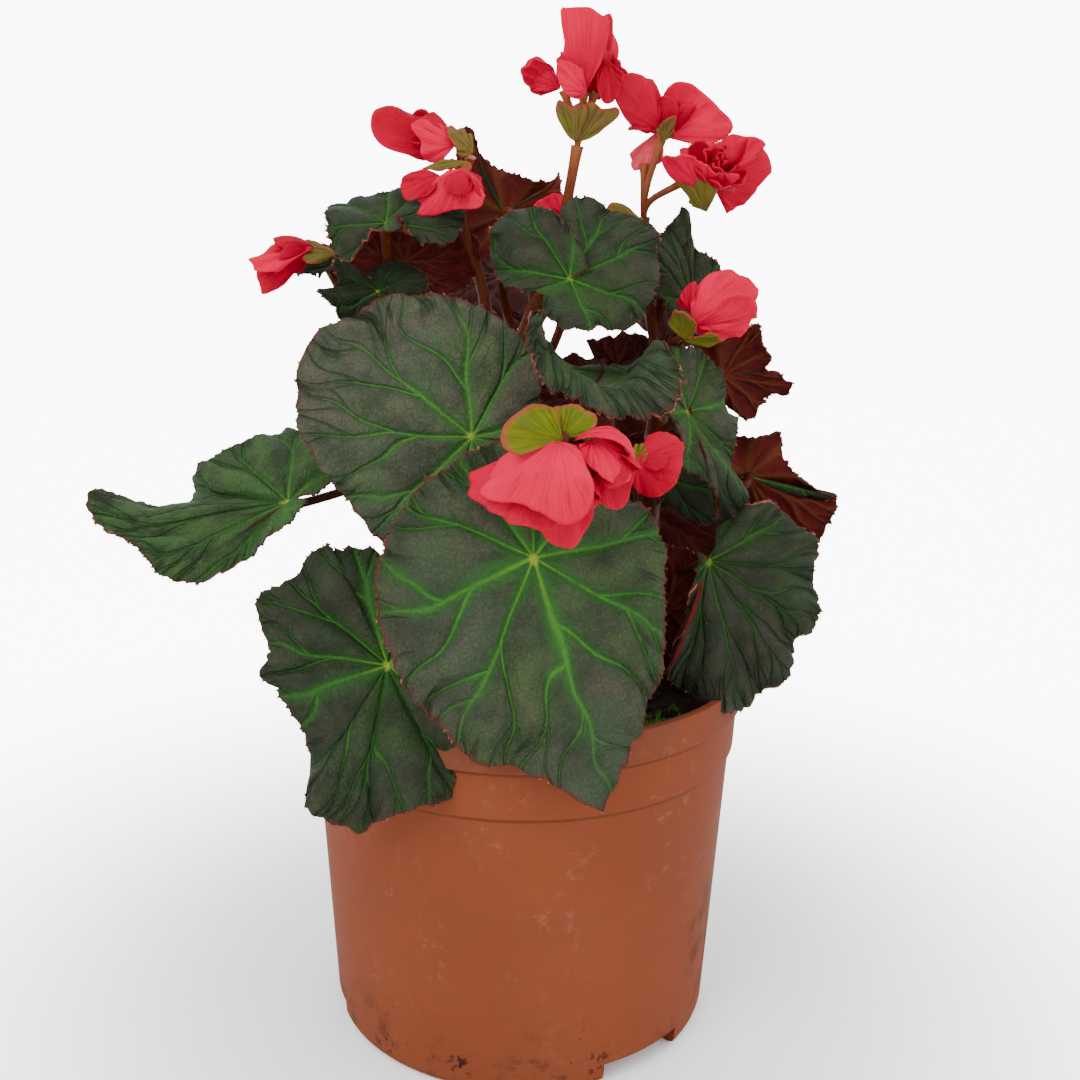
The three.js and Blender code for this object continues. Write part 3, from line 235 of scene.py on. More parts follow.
# Petals and bracts are sheets as the leaves are, but they open only by the fan angle to each side
# of the aim. After the fan come the bends, the reach and the tone, which runs from pale to deep.
PETALS = {
    "front": [
        petal((7.5, -84, 190.5), (-3, -7, -4), (-1, -4, 8), 26, 84, (75, 55, 75),
            (4, 7.5, 17, 21, 18, 18, 23.5, 29, 29), 0.2),
        petal((6.5, -80, 189), (-6, -5, -6), (-2, -6, 7), 26, 50, (60, 30, 40),
            (12, 18, 21, 20, 21, 21.5, 23.5, 26, 26), 0.7),
        petal((8, -80, 188.5), (1, -4, -9), (0, -9, 4), 26, 50, (45, 40, 40),
            (7, 10.5, 15, 20, 24, 22, 17, 13.5, 9), 0.7),
        petal((7.5, -79, 189.5), (1, 7, -5), (1, 5, 7), 24, 80, (75, 45, 45),
            (9, 14, 18, 21, 22, 21, 18, 14, 9), 0.2),
        petal((9, -80, 189.5), (6, 2, -8), (7, 1, 6), 20, 60, (50, 30, 30),
            (8, 12, 15, 17, 17, 17, 15, 12, 8), 0.7),
    ],
    "front_right": [
        petal((10.5, -83, 190.5), (7, -2, 6), (-4, -5, 7), 17, 13, (120, 20, 20),
            (15, 16, 17, 17.5, 18, 17.5, 17, 16, 15), 0),
        petal((14.5, -80, 190.5), (6, -6, -5), (1, -5, 8), 15, 84, (70, 60, 40),
            (9, 13, 15, 14, 12, 9, 7, 5, 4), 0.2),
        petal((16, -77, 188.5), (4, -4, -9), (1, -9, 4), 15, 50, (30, 30, 40),
            (10.5, 11, 12, 14.5, 16, 14, 9.5, 5, 3), 0.7),
        petal((15.5, -75, 189.5), (6, 6, -6), (1, 6, 6), 14, 70, (70, 30, 30),
            (5, 8, 10, 12, 12, 12, 10, 8, 5), 0.2),
    ],
    "front_behind": [
        petal((27, -54, 180), (9, -3, -2), (0, -9, 3), 13, 86, (45, 30, 30),
            (7.5, 11, 13, 12.5, 11.5, 11, 10, 8, 5), 0.8),
        petal((27.5, -51, 179.5), (9, 5, -2), (0, 8, 4), 13, 75, (60, 30, 30),
            (5, 8, 10, 11, 12, 11, 10, 8, 5), 0.7),
    ],
    "right": [
        petal((44, -14, 211), (8, -3, 5), (-2, -8, 3), 17, 70, (30, 20, 30),
            (6, 11, 16.5, 18, 19.5, 15.5, 11, 7, 4), 0.2),
        petal((44, -12, 212.5), (-3, -2, 9), (-2, -9, 1), 10, 45, (20, 20, 20),
            (4, 5, 5, 6, 7, 8, 8.5, 5, 2.5), 0.7),
        petal((45, -15, 209.5), (9, -2, 0), (-1, -6, -7), 16, 50, (20, 20, 20),
            (14, 17, 18, 17, 16, 14.5, 14, 12.5, 10), 0.2),
        petal((45, -9, 210.5), (7, 6, 4), (2, 7, 6), 15, 75, (40, 20, 20),
            (6, 9, 11, 13, 13, 13, 11, 9, 6), 0.7),
    ],
    "top_right_back": [
        petal((35.5, 14, 261), (-6, -6, 7), (-2, -8, 5), 14, 60, (30, 20, 20),
            (4, 7, 11, 15.5, 19, 17, 14, 12, 7), 0.7, cup=0.1),
        petal((38, 18, 259), (4, 1, 8), (-1, -8, 5), 18, 80, (-20, 10, 20),
            (3, 4, 7, 14, 16, 16, 17, 19, 11.5), 0.2, cup=0.1),
        petal((35.5, 16, 260), (-2, -3, -9), (-4, -8, 2), 12, 50, (20, 20, 20),
            (2, 4, 8, 9, 9, 10.5, 12, 11, 9.5), -0.5),
        petal((37, 22, 260.5), (0, 9, 4), (0, 4, 9), 18, 80, (40, 20, 20),
            (7, 10, 13, 15, 15, 15, 13, 10, 7), 0.7),
    ],
    "top_right_front": [
        petal((50.5, 8, 249.5), (4, 5, 7), (-5, -6, 7), 15, 86, (-50, -20, -20),
            (6, 13, 10, 9, 9.5, 12, 14, 19, 22), 0.2, cup=0.1),
        petal((50.5, 5, 246), (8, -1, 1), (2, -8, -3), 15, 70, (30, 20, 20),
            (9, 14, 16.5, 17.5, 17, 13, 11.5, 10.5, 10), 0.7),
        petal((48, 2, 244.5), (-1, -6, 6), (-1, -9, -4), 13, 88, (-10, 20, 20),
            (7, 10, 16.5, 14.5, 10, 8, 8, 10.5, 6), 0.2),
    ],
    "top": [
        petal((14, 6, 269), (-1, -2, 9), (-3, -9, 1), 22, 36, (-10, 25, 25), (11, 12, 12, 13,
            13, 22.5, 23, 23, 23, 23, 22.5, 22, 21, 15.5, 9.5), 0.2),
        petal((18.5, 9, 268), (2, 0, 9), (2, -9, 1), 22, 38, (-10, 25, 20), (5, 6.5, 9, 15,
            19.5, 22, 22, 15, 13, 12, 12, 11, 11, 11, 11), 0.7),
        petal((15, 2, 270), (-8, -3, 2), (-1, -9, -1), 9, 60, (20, 20, 20),
            (3, 4, 5, 6.5, 8, 10, 11, 8, 6), 0.2),
        petal((16.5, 12, 270), (0, 2, 9), (0, 9, 1), 22, 45, (-10, 35, 35),
            (10, 14, 17, 19, 19, 19, 17, 14, 10), 0.2),
        petal((20, 5, 278.5), (2, -3, -9), (1, -9, 2), 9, 40, (10, 20, 20),
            (6, 7, 8, 10, 11.5, 12, 10, 7, 4), 1),
    ],
    "top_bud": [
        petal((8, 8, 271), (-8, -2, 4), (-2, -9, 1), 9, 44, (40, 50, 50),
            (6, 8, 9.5, 11.5, 13, 12, 12, 8, 6), 0.6),
        petal((8, 9, 271), (-8, 2, 4), (2, 9, 1), 9, 44, (40, 50, 50),
            (6, 9, 12, 12, 13, 11, 9, 8, 6), 0.6),
    ],
    "left_tube": [
        petal((-20, -4, 255.5), (-7, -2, 3), (1, -9, 3), 17, 70, (10, 60, 60),
            (6.5, 9, 10, 9.5, 13, 10, 6.5, 4, 3), 0.2),
        petal((-25, -1, 254.5), (-8, -2, 3), (1, -9, 2), 17, 60, (10, 30, 60),
            (5, 6.5, 9, 16, 19, 19, 13.5, 10, 7), 0.7),
        petal((-21.5, 4, 256.5), (-7, 2, 3), (1, 8, 5), 18, 60, (10, 60, 60),
            (8, 10, 12, 13, 13, 13, 12, 10, 8), 0.7),
    ],
    "left_nodding": [
        petal((-24, -10, 247.5), (-8, -2, -3), (-1, -8, 3), 10, 50, (20, 20, 20),
            (4, 6, 8, 11, 11, 11, 9, 6, 4), 0.7),
        petal((-17, -11, 249.5), (-4, -4, -8), (0, -9, 4), 15, 60, (40, 30, 30),
            (9, 11, 11, 11, 12.5, 16, 18, 9, 5), 0.2),
        petal((-17.5, -7, 249.5), (-2, 6, -7), (0, 8, 5), 13, 70, (60, 30, 30),
            (5, 8, 10, 11, 12, 11, 10, 8, 5), 0.7),
    ],
    "far_left": [
        petal((-58.5, -6, 228), (-9, -2, -1), (-1, -8, 6), 15, 28, (10, 30, 50),
            (12, 14.5, 17, 17, 17.5, 13.5, 11, 9, 7), 0.2),
        petal((-59, -5, 227), (-9, -1, -5), (-2, -8, 1), 16, 20, (10, 30, 30),
            (11.5, 15, 18, 17.5, 17, 17, 16, 13, 10), 0.7),
        petal((-59.5, -2, 227.5), (-9, 2, -3), (-1, 9, 2), 15, 45, (10, 50, 50),
            (7, 8, 10, 11, 11, 11, 10, 8, 7), 0.7),
    ],
    "behind_leaf": [
        petal((9.5, 14, 234.5), (-2, -1, 8), (-1, -8, 3), 9, 60, (20, 20, 20),
            (8, 10, 9.5, 9, 9, 8, 8, 5.5, 3), 0.2),
        petal((9.5, 17, 234.5), (0, 3, 8), (0, 8, 3), 8, 60, (30, 20, 20),
            (4, 5, 6, 7, 7, 7, 6, 5, 4), 0.7),
    ],
}
BRACTS = {
    "front_behind": [
        petal((26.5, -53, 180), (4, -2, 7), (-2, -8, 3), 5, 60, (40, 30, 30),
            (2.5, 3, 4, 4.5, 5, 4.5, 4, 3, 2.5)),
    ],
    "front": [
        petal((8, -82, 190.5), (-7, -2, 5), (-2, -8, 5), 17, 50, (20, 20, 20),
            (11, 14, 14.5, 13.5, 12, 11, 9.5, 8, 6), cup=0.15),
        petal((8, -81, 191), (4, 1, 8), (-1, -8, 4), 14, 62, (20, 20, 20),
            (5.5, 7, 7, 7.5, 8, 8, 9, 7.5, 4), cup=0.15),
    ],
    "front_right": [
        petal((14.5, -80, 190), (-2, -2, 7), (3, -8, 2), 4, 60, (20, 30, 30),
            (2, 2.5, 3, 3.5, 4, 3.5, 3, 2.5, 2)),
    ],
    "right": [
        petal((42, -15, 206), (1, -3, 9), (-3, -8, 0), 8, 70, (-10, 40, 40),
            (4.5, 6, 7, 9, 8.5, 7, 5, 3, 2), cup=0.2),
        petal((42, -14, 205.5), (9, -3, 0), (0, -5, -7), 10, 30, (0, 40, 40),
            (9, 10, 10, 10.5, 11, 8, 6.5, 6, 5)),
    ],
    "top_right_back": [
        petal((37, 12, 257.5), (2, -2, 8), (-1, -9, 3), 7, 45, (-10, 30, 30),
            (4, 4, 5, 6, 7, 8, 5, 4, 3.5)),
        petal((32, 6, 235.5), (-7, -2, 3), (-1, -8, 4), 11, 26, (10, 30, 30),
            (7, 9, 11, 11.5, 11, 9, 6)),
    ],
    "top_right_front": [
        petal((49, 4, 239), (-5, -4, 7), (-5, -8, -2), 12, 50, (10, 40, 40),
            (4, 5.5, 7.5, 18, 15, 13, 11, 9.5, 8)),
    ],
    "top": [
        petal((12.5, 6, 257), (-3, -2, 9), (-2, -8, -1), 9, 40, (0, 20, 20),
            (1.5, 3, 7, 10.5, 12, 11, 9.5, 10, 10.5, 10, 8)),
        petal((13, 6.5, 257), (5, -2, 8), (1, -8, -2), 11, 46, (0, 20, 20),
            (3, 6, 9, 11, 11.5, 11, 11.5, 14, 13, 5.5, 2)),
        petal((13, 9, 257.5), (0, 3, 9), (0, 9, -2), 9, 50, (0, 30, 30),
            (4, 6, 7, 8, 8, 8, 7, 6, 4)),
    ],
    "left_tube": [
        petal((-15.5, -4, 253.5), (-6, -2, 5), (3, -8, 5), 9, 60, (20, 40, 40),
            (3.5, 4, 5, 6, 8, 9.5, 8, 6, 4.5)),
    ],
    "left_nodding": [
        petal((-17, -8, 251), (-8, -2, -1), (0, -7, 6), 11, 30, (20, 10, 20),
            (3, 4, 5, 6.5, 9, 12, 7.5, 6, 4)),
    ],
    "far_left": [
        petal((-52.5, -5, 226.5), (-9, -1, 1), (0, -8, 6), 9, 34, (10, 50, 50),
            (5.5, 8, 9, 9.5, 9, 9, 9, 9.5, 8)),
        petal((-53, -2, 227), (-9, 1, 0), (0, 8, 5), 8, 40, (10, 50, 50),
            (4, 5, 6, 7, 7, 7, 6, 5, 4)),
    ],
}

# Rounds of inner petals. Each leaves the axis at its base angle and turns to its rim angle.
HABITS = {
    "tube": [
        dict(petals=3, share=1, base=54, rim=-14, lift=0),
        dict(petals=2, share=0.86, base=36, rim=-10, lift=1.2),
    ],
    "rose": [
        dict(petals=5, share=1, base=80, rim=24, lift=0),
        dict(petals=4, share=0.78, base=58, rim=4, lift=1),
        dict(petals=3, share=0.6, base=34, rim=-12, lift=2),
        dict(petals=2, share=0.5, base=20, rim=-30, lift=2.6),
    ],
    "cup": [dict(petals=4, share=1, base=70, rim=-6, lift=0)],
    "bud": [dict(petals=3, share=1, base=70, rim=-30, lift=0)],
}
# The heart of each bloom: its foot, its axis, its length, its habit and how far it is turned
CORES = {
    "front": ((8, -80, 188), (0, -1, -10), 15, "cup", 20),
    "front_right": ((17, -77, 188), (4, 0, -8), 11, "cup", 40),
    "front_behind": ((28, -52, 179.5), (9, 0, -2), 8, "cup", 0),
    "right": ((46, -12, 210), (8, 1, 5), 11, "tube", 30),
    "top_right_back": ((38, 18, 260), (1, 4, 8), 11, "rose", 0),
    "top_right_front": ((49, 5, 247.5), (4, -6, 7), 11, "rose", 35),
    "top": ((16, 9, 270), (0, 0, 10), 13, "tube", 10),
    "left_tube": ((-21, -1, 255), (-8, 0, 4), 12, "tube", 0),
    "left_nodding": ((-18, -9, 249), (0, -2, -8), 10, "cup", 50),
    "far_left": ((-59, -4, 228), (-9, -1, -2), 11, "tube", 60),
    "behind_leaf": ((9.5, 15.5, 235), (0, -1, 6), 6, "cup", 0),
    "low_bud": ((33, -37, 135), (0, -2, 9), 8, "bud", 0),
}

ROOT_DEPTH = 84
STEMS = {
    "front_left": [(-14, -12, ROOT_DEPTH), (-18, -16, 120), (-16, -12, 160), (-15, -8, 190)],
    "front_right": [(14, -14, ROOT_DEPTH), (20, -14, 120), (22, -8, 155), (22, -2, 182)],
    "back_left": [(-20, 16, ROOT_DEPTH), (-28, 16, 125), (-34, 10, 170), (-36, 4, 205)],
    "back_middle": [(4, 18, ROOT_DEPTH), (4, 16, 130), (0, 12, 176), (-1, 8, 200), (5, 8, 217)],
    "back_right": [(24, 16, ROOT_DEPTH), (32, 16, 120), (38, 14, 165), (38, 10, 198)],
}
# Flower stalks: the stem, how far up it the stalk leaves, its points to the joint of its blooms,
# and where each bloom's own short stalk ends
STALKS = (
    ("front_right", 0.96, [(18, -28, 174), (15, -54, 180), (12, -72, 188)],
        [(8, -82, 191), (14, -79, 190.5)]),
    ("front_right", 0.96, [(23, -20, 170), (22, -42, 176)], [(27, -53, 180)]),
    ("back_right", 0.96, [(39, 2, 200), (40, -8, 204)], [(43, -13, 207)]),
    ("back_right", 0.96, [(33, 9, 222), (32, 8, 237)],
        [(32, 13, 251), (36.5, 14, 258), (43, 5, 247.5)]),
    ("back_middle", 0.96, [(8, 9, 226), (10, 9, 238), (13, 8, 256)],
        [(14.5, 7, 270), (17.5, 9, 270), (9, 8.5, 270.5)]),
    ("back_middle", 0.96, [(4, 14, 222), (4, 15, 228)], [(9.5, 15.5, 235)]),
    ("front_left", 0.96, [(-12, -2, 213), (-19, 0, 237), (-18, -2, 245)],
        [(-16, -5, 252.5), (-17, -9, 250)]),
    ("back_left", 0.96, [(-38, -1, 214), (-46, -3, 224)], [(-52.5, -4, 226.5)]),
    ("front_right", 0.3, [(26, -20, 120), (32, -30, 124)], [(33, -37, 134.5)]),
)

PLAIN_REACH = (0.56, 0.64, 0.68, 0.72, 0.78, 0.88, 1, 0.9, 0.82, 0.74, 0.68, 0.6, 0.5)
BLADE_LIMIT = math.radians(Sheet.fan)
MAIN_VEINS = 9
VEIN_SECTOR = 2 * BLADE_LIMIT / MAIN_VEINS
# Each fork leaves the main vein at a start (a share of the blade's size), with a slope and a
# thinning. The twigs leave the first forks.
FORKS = ((0.34, 0.56, 1.3), (0.62, 0.50, 1.7))
TWIG_START, TWIG_SLOPE, TWIG_THINNING = 0.62, 0.40, 2.3
FORK_SHIFT, FORK_STAGGER, FORK_PACE = 0.05, 0.06, 2.4
# How wide the pointed tip and the torn stretch are, and where the lap begins, in radians
POINT_WIDTH, FRAYED_WIDTH, LAP_START = 0.14, 0.34, 2.5
# The distance from tooth to tooth and hair to hair along an edge, in millimetres
FRINGE_SPACING = 1.5
TOOTH_END, HAIR_FOOT, HAIR_END = 0.00006, 0.00011, 0.00002
# How deep the inner petals' colour is, and how far each petal laps over the next
CORE_TONE, PETAL_OVERLAP = 0.75, 1.22


# Settings


def length_property(name, description, default):
    return FloatProperty(name=name, description=description, default=default, unit="LENGTH")


def colour_property(name, description, *default):
    return FloatVectorProperty(
        name=name, description=description, default=default, subtype="COLOR", size=3, min=0, max=1)


def angle_property(name, description, default):
    return FloatProperty(name=name, description=description, default=default, subtype="ANGLE")


def plain_property(name, description, default):
    return FloatProperty(name=name, description=description, default=default)


def whole_property(name, description, default):
    return IntProperty(name=name, description=description, default=default, min=0)


class BegoniaPotSettings(bpy.types.PropertyGroup):
    """Sizes and colours of the nursery pot."""

    height: length_property("Height", "Height of the pot", 0.110)
    rim_radius: length_property("Rim radius", "Outer radius of the lip", 0.065)
    base_radius: length_property("Base radius", "Outer radius of the foot", 0.057)
    wall: length_property("Wall", "Thickness of the wall", 0.0017)
    colour: colour_property("Colour", "Colour of the moulded plastic", 0.130, 0.031, 0.012)
    dust_colour: colour_property("Dust", "Colour of the dusty upper band", 0.100, 0.034, 0.020)


class BegoniaSoilSettings(bpy.types.PropertyGroup):
    """Level, crumbs and colour of the potting soil."""

    level: length_property("Level", "Height of the soil", 0.097)
    crumbs: whole_property("Crumbs", "Number of loose crumbs", 420)
    moss: whole_property("Moss tufts", "Number of moss tufts", 190)
    seed: whole_property("Seed", "Seed of the crumbs and tufts", 4)
    colour: colour_property("Colour", "Colour of the damp soil", 0.012, 0.007, 0.005)


class BegoniaStemSettings(bpy.types.PropertyGroup):
    """Thickness and colours of stems and stalks."""

    stem_radius: length_property("Stem radius", "Radius of a leafy stem at the soil", 0.0042)
    petiole_radius: length_property("Leaf stalk radius", "Radius of a leaf stalk", 0.0015)
    peduncle_radius: length_property("Flower stalk radius", "Radius of a flower stalk", 0.0015)
    low_colour: colour_property("Lower colour", "Colour near the soil", 0.030, 0.005, 0.0025)
    high_colour: colour_property("Upper colour", "Colour near the blooms", 0.060, 0.010, 0.002)
    tip_colour: colour_property("Tip colour", "Colour of the bloom stalks", 0.22, 0.060, 0.020)


class BegoniaLeafSettings(bpy.types.PropertyGroup):
    """Blade thickness, teeth, hairs and colours of the leaves."""

    thickness: length_property("Thickness", "Thickness of a blade", 0.0006)
    tooth_depth: length_property("Tooth depth", "Depth of the teeth along the edge", 0.0013)
    tooth_spacing: length_property("Tooth spacing", "Distance from tooth to tooth", 0.0047)
    hair_length: length_property("Hair length", "Length of the hairs along the edge", 0.0011)
    seed: whole_property("Seed", "Seed of the teeth and hairs", 7)
    dark_colour: colour_property("Dark green", "Top of the darkest blades", 0.010, 0.013, 0.008)
    pale_colour: colour_property("Pale green", "Top of the palest blades", 0.056, 0.070, 0.042)
    vein_colour: colour_property("Veins", "Main veins of the upper side", 0.052, 0.150, 0.018)
    under_colour: colour_property("Underside", "Under side of the blades", 0.040, 0.003, 0.004)
    margin_colour: colour_property("Margin", "Edge and hairs of the blades", 0.062, 0.018, 0.013)


class BegoniaBloomSettings(bpy.types.PropertyGroup):
    """Petals and bracts."""

    petal_thickness: length_property("Petal thickness", "Thickness of a petal", 0.0004)
    bract_thickness: length_property("Bract thickness", "Thickness of a bract", 0.0005)
    ruffle: length_property("Ruffle", "Height of the waves along a petal's edge", 0.0009)
    light_colour: colour_property("Light coral", "Lighter parts of the petals", 0.53, 0.0, 0.036)
    deep_colour: colour_property("Deep coral", "Deeper parts of the petals", 0.235, 0.0, 0.011)
    bract_colour: colour_property("Bracts", "Colour of the bracts", 0.100, 0.110, 0.002)


class BegoniaStageSettings(bpy.types.PropertyGroup):
    """Camera, floor and lights."""

    camera_place: FloatVectorProperty(
        name="Camera", description="Place of the camera", subtype="TRANSLATION", size=3,
        default=(0, -0.382, 0.248))
    camera_pitch: angle_property("Pitch", "How far the camera looks down", 0.263)
    camera_yaw: angle_property("Yaw", "How far the camera looks to the right", 0.011)
    camera_roll: angle_property("Roll", "How far the camera is turned", 0.015)
    focal_pixels: plain_property("Focal length", "Focal length in pixels of the whole frame", 1355)
    floor_radius: length_property("Floor radius", "Radius of the floor", 2.4)
    key_power: plain_property("Key light", "Power of the main light", 24)
    fill_power: plain_property("Fill light", "Power of the fill light", 7)
    sky: plain_property("Sky", "Strength of the surrounding light", 2.1)


# Nodes


class Signal:
    """What a node puts out. Sums with it add the nodes that work them out."""

    def __init__(self, kit, socket):
        self.kit, self.socket = kit, socket

    def __add__(self, other):
        return self.kit.math("ADD", self, other)

    def __sub__(self, other):
        return self.kit.math("SUBTRACT", self, other)

    def __mul__(self, other):
        return self.kit.math("MULTIPLY", self, other)

    def __abs__(self):
        return self.kit.math("ABSOLUTE", self)

    def smooth(self, low, high, start=0.0, end=1.0):
        """Runs smoothly from start, where this is low, to end, where it is high."""
        made = self.kit.node("ShaderNodeMapRange", interpolation_type="SMOOTHSTEP")
        for socket, number in zip(made.inputs, (self, low, high, start, end)):
            self.kit.feed(socket, number)
        return Signal(self.kit, made.outputs[0])


class NodeKit:
    """Adds nodes to a tree and links what they are given."""

    def __init__(self, tree):
        self.tree = tree

    def feed(self, socket, value):
        if isinstance(value, Signal):
            self.tree.links.new(value.socket, socket)
        elif hasattr(value, "__len__") and len(value) == 3 and socket.type == "RGBA":
            socket.default_value = (*value, 1)
        else:
            socket.default_value = value

    def node(self, kind, inputs=None, **looks):
        made = self.tree.nodes.new(kind)
        for name, value in looks.items():
            setattr(made, name, value)
        for name, value in (inputs or {}).items():
            self.feed(made.inputs[name], value)
        return made

    def out(self, output, kind, inputs=None, **looks):
        """Adds a node and gives its output of that name."""
        return Signal(self, self.node(kind, inputs, **looks).outputs[output])

    def math(self, operation, first, second=0.0):
        return self.out(0, "ShaderNodeMath", {0: first, 1: second}, operation=operation)

    def mix(self, share, first, second):
        made = self.node("ShaderNodeMix", {"Factor": share}, data_type="RGBA")
        for socket, value in zip((s for s in made.inputs if s.type == "RGBA"), (first, second)):
            self.feed(socket, value)
        return Signal(self, next(s for s in made.outputs if s.type == "RGBA"))

    def layers(self, colour, *coats):
        """Lays each coat, a share and a colour, over the ones before it."""
        for share, coat in coats:
            colour = self.mix(share, colour, coat)
        return colour

    def noise(self, vector, scale, detail=2.0, roughness=0.5):
        return self.out("Fac", "ShaderNodeTexNoise", {
            "Vector": vector, "Scale": scale, "Detail": detail, "Roughness": roughness})

    def cells(self, vector, scale, feature="F1"):
        return self.out(
            "Distance", "ShaderNodeTexVoronoi", {"Vector": vector, "Scale": scale}, feature=feature)

    def place(self):
        return self.out("Object", "ShaderNodeTexCoord")

    def uv(self, name):
        return self.out("UV", "ShaderNodeUVMap", uv_map=name)

    def attribute(self, name):
        return self.out("Fac", "ShaderNodeAttribute", attribute_name=name)

    def stretched(self, vector, *scale):
        return self.out("Vector", "ShaderNodeMapping", {"Vector": vector, "Scale": scale})

    def split(self, vector, names):
        made = self.node("ShaderNodeSeparateXYZ", {"Vector": vector})
        return [Signal(self, made.outputs[name]) for name in names]

    def group(self, tree, **inputs):
        made = self.node("ShaderNodeGroup", inputs, node_tree=tree)
        return {socket.name: Signal(self, socket) for socket in made.outputs}


class GroupKit(NodeKit):
    """Makes a shader node group. Given holds its inputs."""

    def __init__(self, name, **inputs):
        super().__init__(bpy.data.node_groups.new(name, "ShaderNodeTree"))
        for socket, kind in inputs.items():
            self.tree.interface.new_socket(
                socket, in_out="INPUT", socket_type="NodeSocket" + kind)
        entry = self.node("NodeGroupInput").outputs
        self.given = [Signal(self, entry[name]) for name in inputs]

    def finish(self, **values):
        for name in values:
            self.tree.interface.new_socket(name, in_out="OUTPUT", socket_type="NodeSocketFloat")
        self.node("NodeGroupOutput", values)
        return self.tree


class MaterialKit(NodeKit):
    """Makes a material. Constants are values of the shader's sockets, by their names."""

    def __init__(self, name, **constants):
        self.material = bpy.data.materials.new(name)
        self.material.use_nodes = True
        super().__init__(self.material.node_tree)
        self.tree.nodes.clear()
        self.shader = self.node("ShaderNodeBsdfPrincipled")
        output = self.node("ShaderNodeOutputMaterial")
        self.tree.links.new(self.shader.outputs["BSDF"], output.inputs["Surface"])
        for socket, value in constants.items():
            self.feed(self.shader.inputs[socket.replace("_", " ")], value)

    def finish(self, colour, roughness, height=None, depth=0.0):
        self.feed(self.shader.inputs["Base Color"], colour)
        self.feed(self.shader.inputs["Roughness"], roughness)
        if height is not None:
            bump = {"Height": height, "Strength": 1.0, "Distance": depth}
            self.feed(self.shader.inputs["Normal"], self.out("Normal", "ShaderNodeBump", bump))
        return self.material


def vein_group():
    """Forking main veins, side veins and a fine net, from a vein coordinate: U counts the main
    veins round the blade and V is the distance from the hub as a share of the blade's size."""
    if "Leaf veins" in bpy.data.node_groups:
        return bpy.data.node_groups["Leaf veins"]
    kit = GroupKit("Leaf veins", Coordinate="Vector", Flat="Vector", Width="Float")
    coordinate, flat, width = kit.given
    turn, distance = kit.split(coordinate, "XY")
    sector = kit.math("FLOOR", turn + 0.5)
    away = (turn - sector) * VEIN_SECTOR * distance
    side_of, apart = kit.math("SIGN", away), abs(away)
    branches = []
    for k, (start, slope, _) in enumerate(FORKS):
        begin = kit.math("SINE", sector * FORK_PACE + k) * FORK_SHIFT + start
        begin = begin + side_of * (FORK_STAGGER * (-1) ** k)
        past = kit.math("MAXIMUM", distance - begin, 0.0)
        branches.append(abs(apart - past * slope))
    past = kit.math("MAXIMUM", distance - TWIG_START, 0.0)
    twig = abs(branches[0] - past * TWIG_SLOPE)
    offset = apart
    for branch, (_, _, thinning) in zip(branches, FORKS):
        offset = kit.math("MINIMUM", offset, branch * thinning)
    offset = kit.math("MINIMUM", offset, twig * TWIG_THINNING)
    taper = distance.smooth(0.0, 1.0, 1.3, 0.4)
    width = width * taper * distance.smooth(0.0, 0.25, 0.55, 1.0)
    along = distance + kit.noise(flat, 4.0, 3.0) * 0.22 - apart
    rows = abs(kit.math("FRACT", along * 11.0 + side_of * 0.25) - 0.5)
    side = rows.smooth(0.01, 0.07, 1.0, 0.0) * distance.smooth(0.12, 0.3)
    side = side * kit.noise(flat, 3.4).smooth(0.42, 0.62, 0.1, 1.0)
    net = kit.cells(flat, 26.0, feature="DISTANCE_TO_EDGE").smooth(0.02, 0.09, 1.0, 0.0)
    soft = offset + (kit.noise(flat, 42.0, 3.0) - 0.5) * 0.030
    glow = soft.smooth(0.0, taper * 0.040, 1.0, 0.0)
    valley = offset.smooth(0.0, width * 3.0, 0.0, 1.0) - side * 0.28
    return kit.finish(
        Main=offset.smooth(width * 0.1, width, 1.0, 0.0), Side=side, Net=net,
        Glow=glow * distance.smooth(0.25, 0.9, 1.0, 0.2),
        # The band beside the veins: partly a blue-green tint of the leaf there, partly painted
        # shade that makes the blade between the veins look raised.
        ValleyTintAndShade=soft.smooth(0.02, 0.12, 1.0, 0.0) * distance.smooth(0.1, 0.35),
        Height=valley - net * 0.16)


def speckle_group():
    """Scattered specks and thin scuffs on a surface."""
    kit = GroupKit("Specks and scuffs", Vector="Vector", Scale="Float")
    vector, scale = kit.given
    patches = kit.noise(vector, scale * 0.12, 3.0)
    specks = kit.cells(vector, scale).smooth(0.05, 0.16, 1.0, 0.0)
    scuffs = kit.noise(vector, scale * 0.6, 5.0, 0.7).smooth(0.52, 0.68)
    return kit.finish(
        Specks=specks * patches.smooth(0.5, 0.62), Scuffs=scuffs * patches.smooth(0.47, 0.62))


# Heights, in metres, of the painted shadow lines just under the lip's lower edge and under the
# band's bead
SHADE_LINE_HEIGHTS = (0.0999, 0.0862)
DIRT_SPOTS = ((-0.0150, -0.0497, 0.0085), (0.0195, -0.0480, 0.0080), (-0.035, -0.038, 0.006))
SMEAR_HEIGHT = 0.030


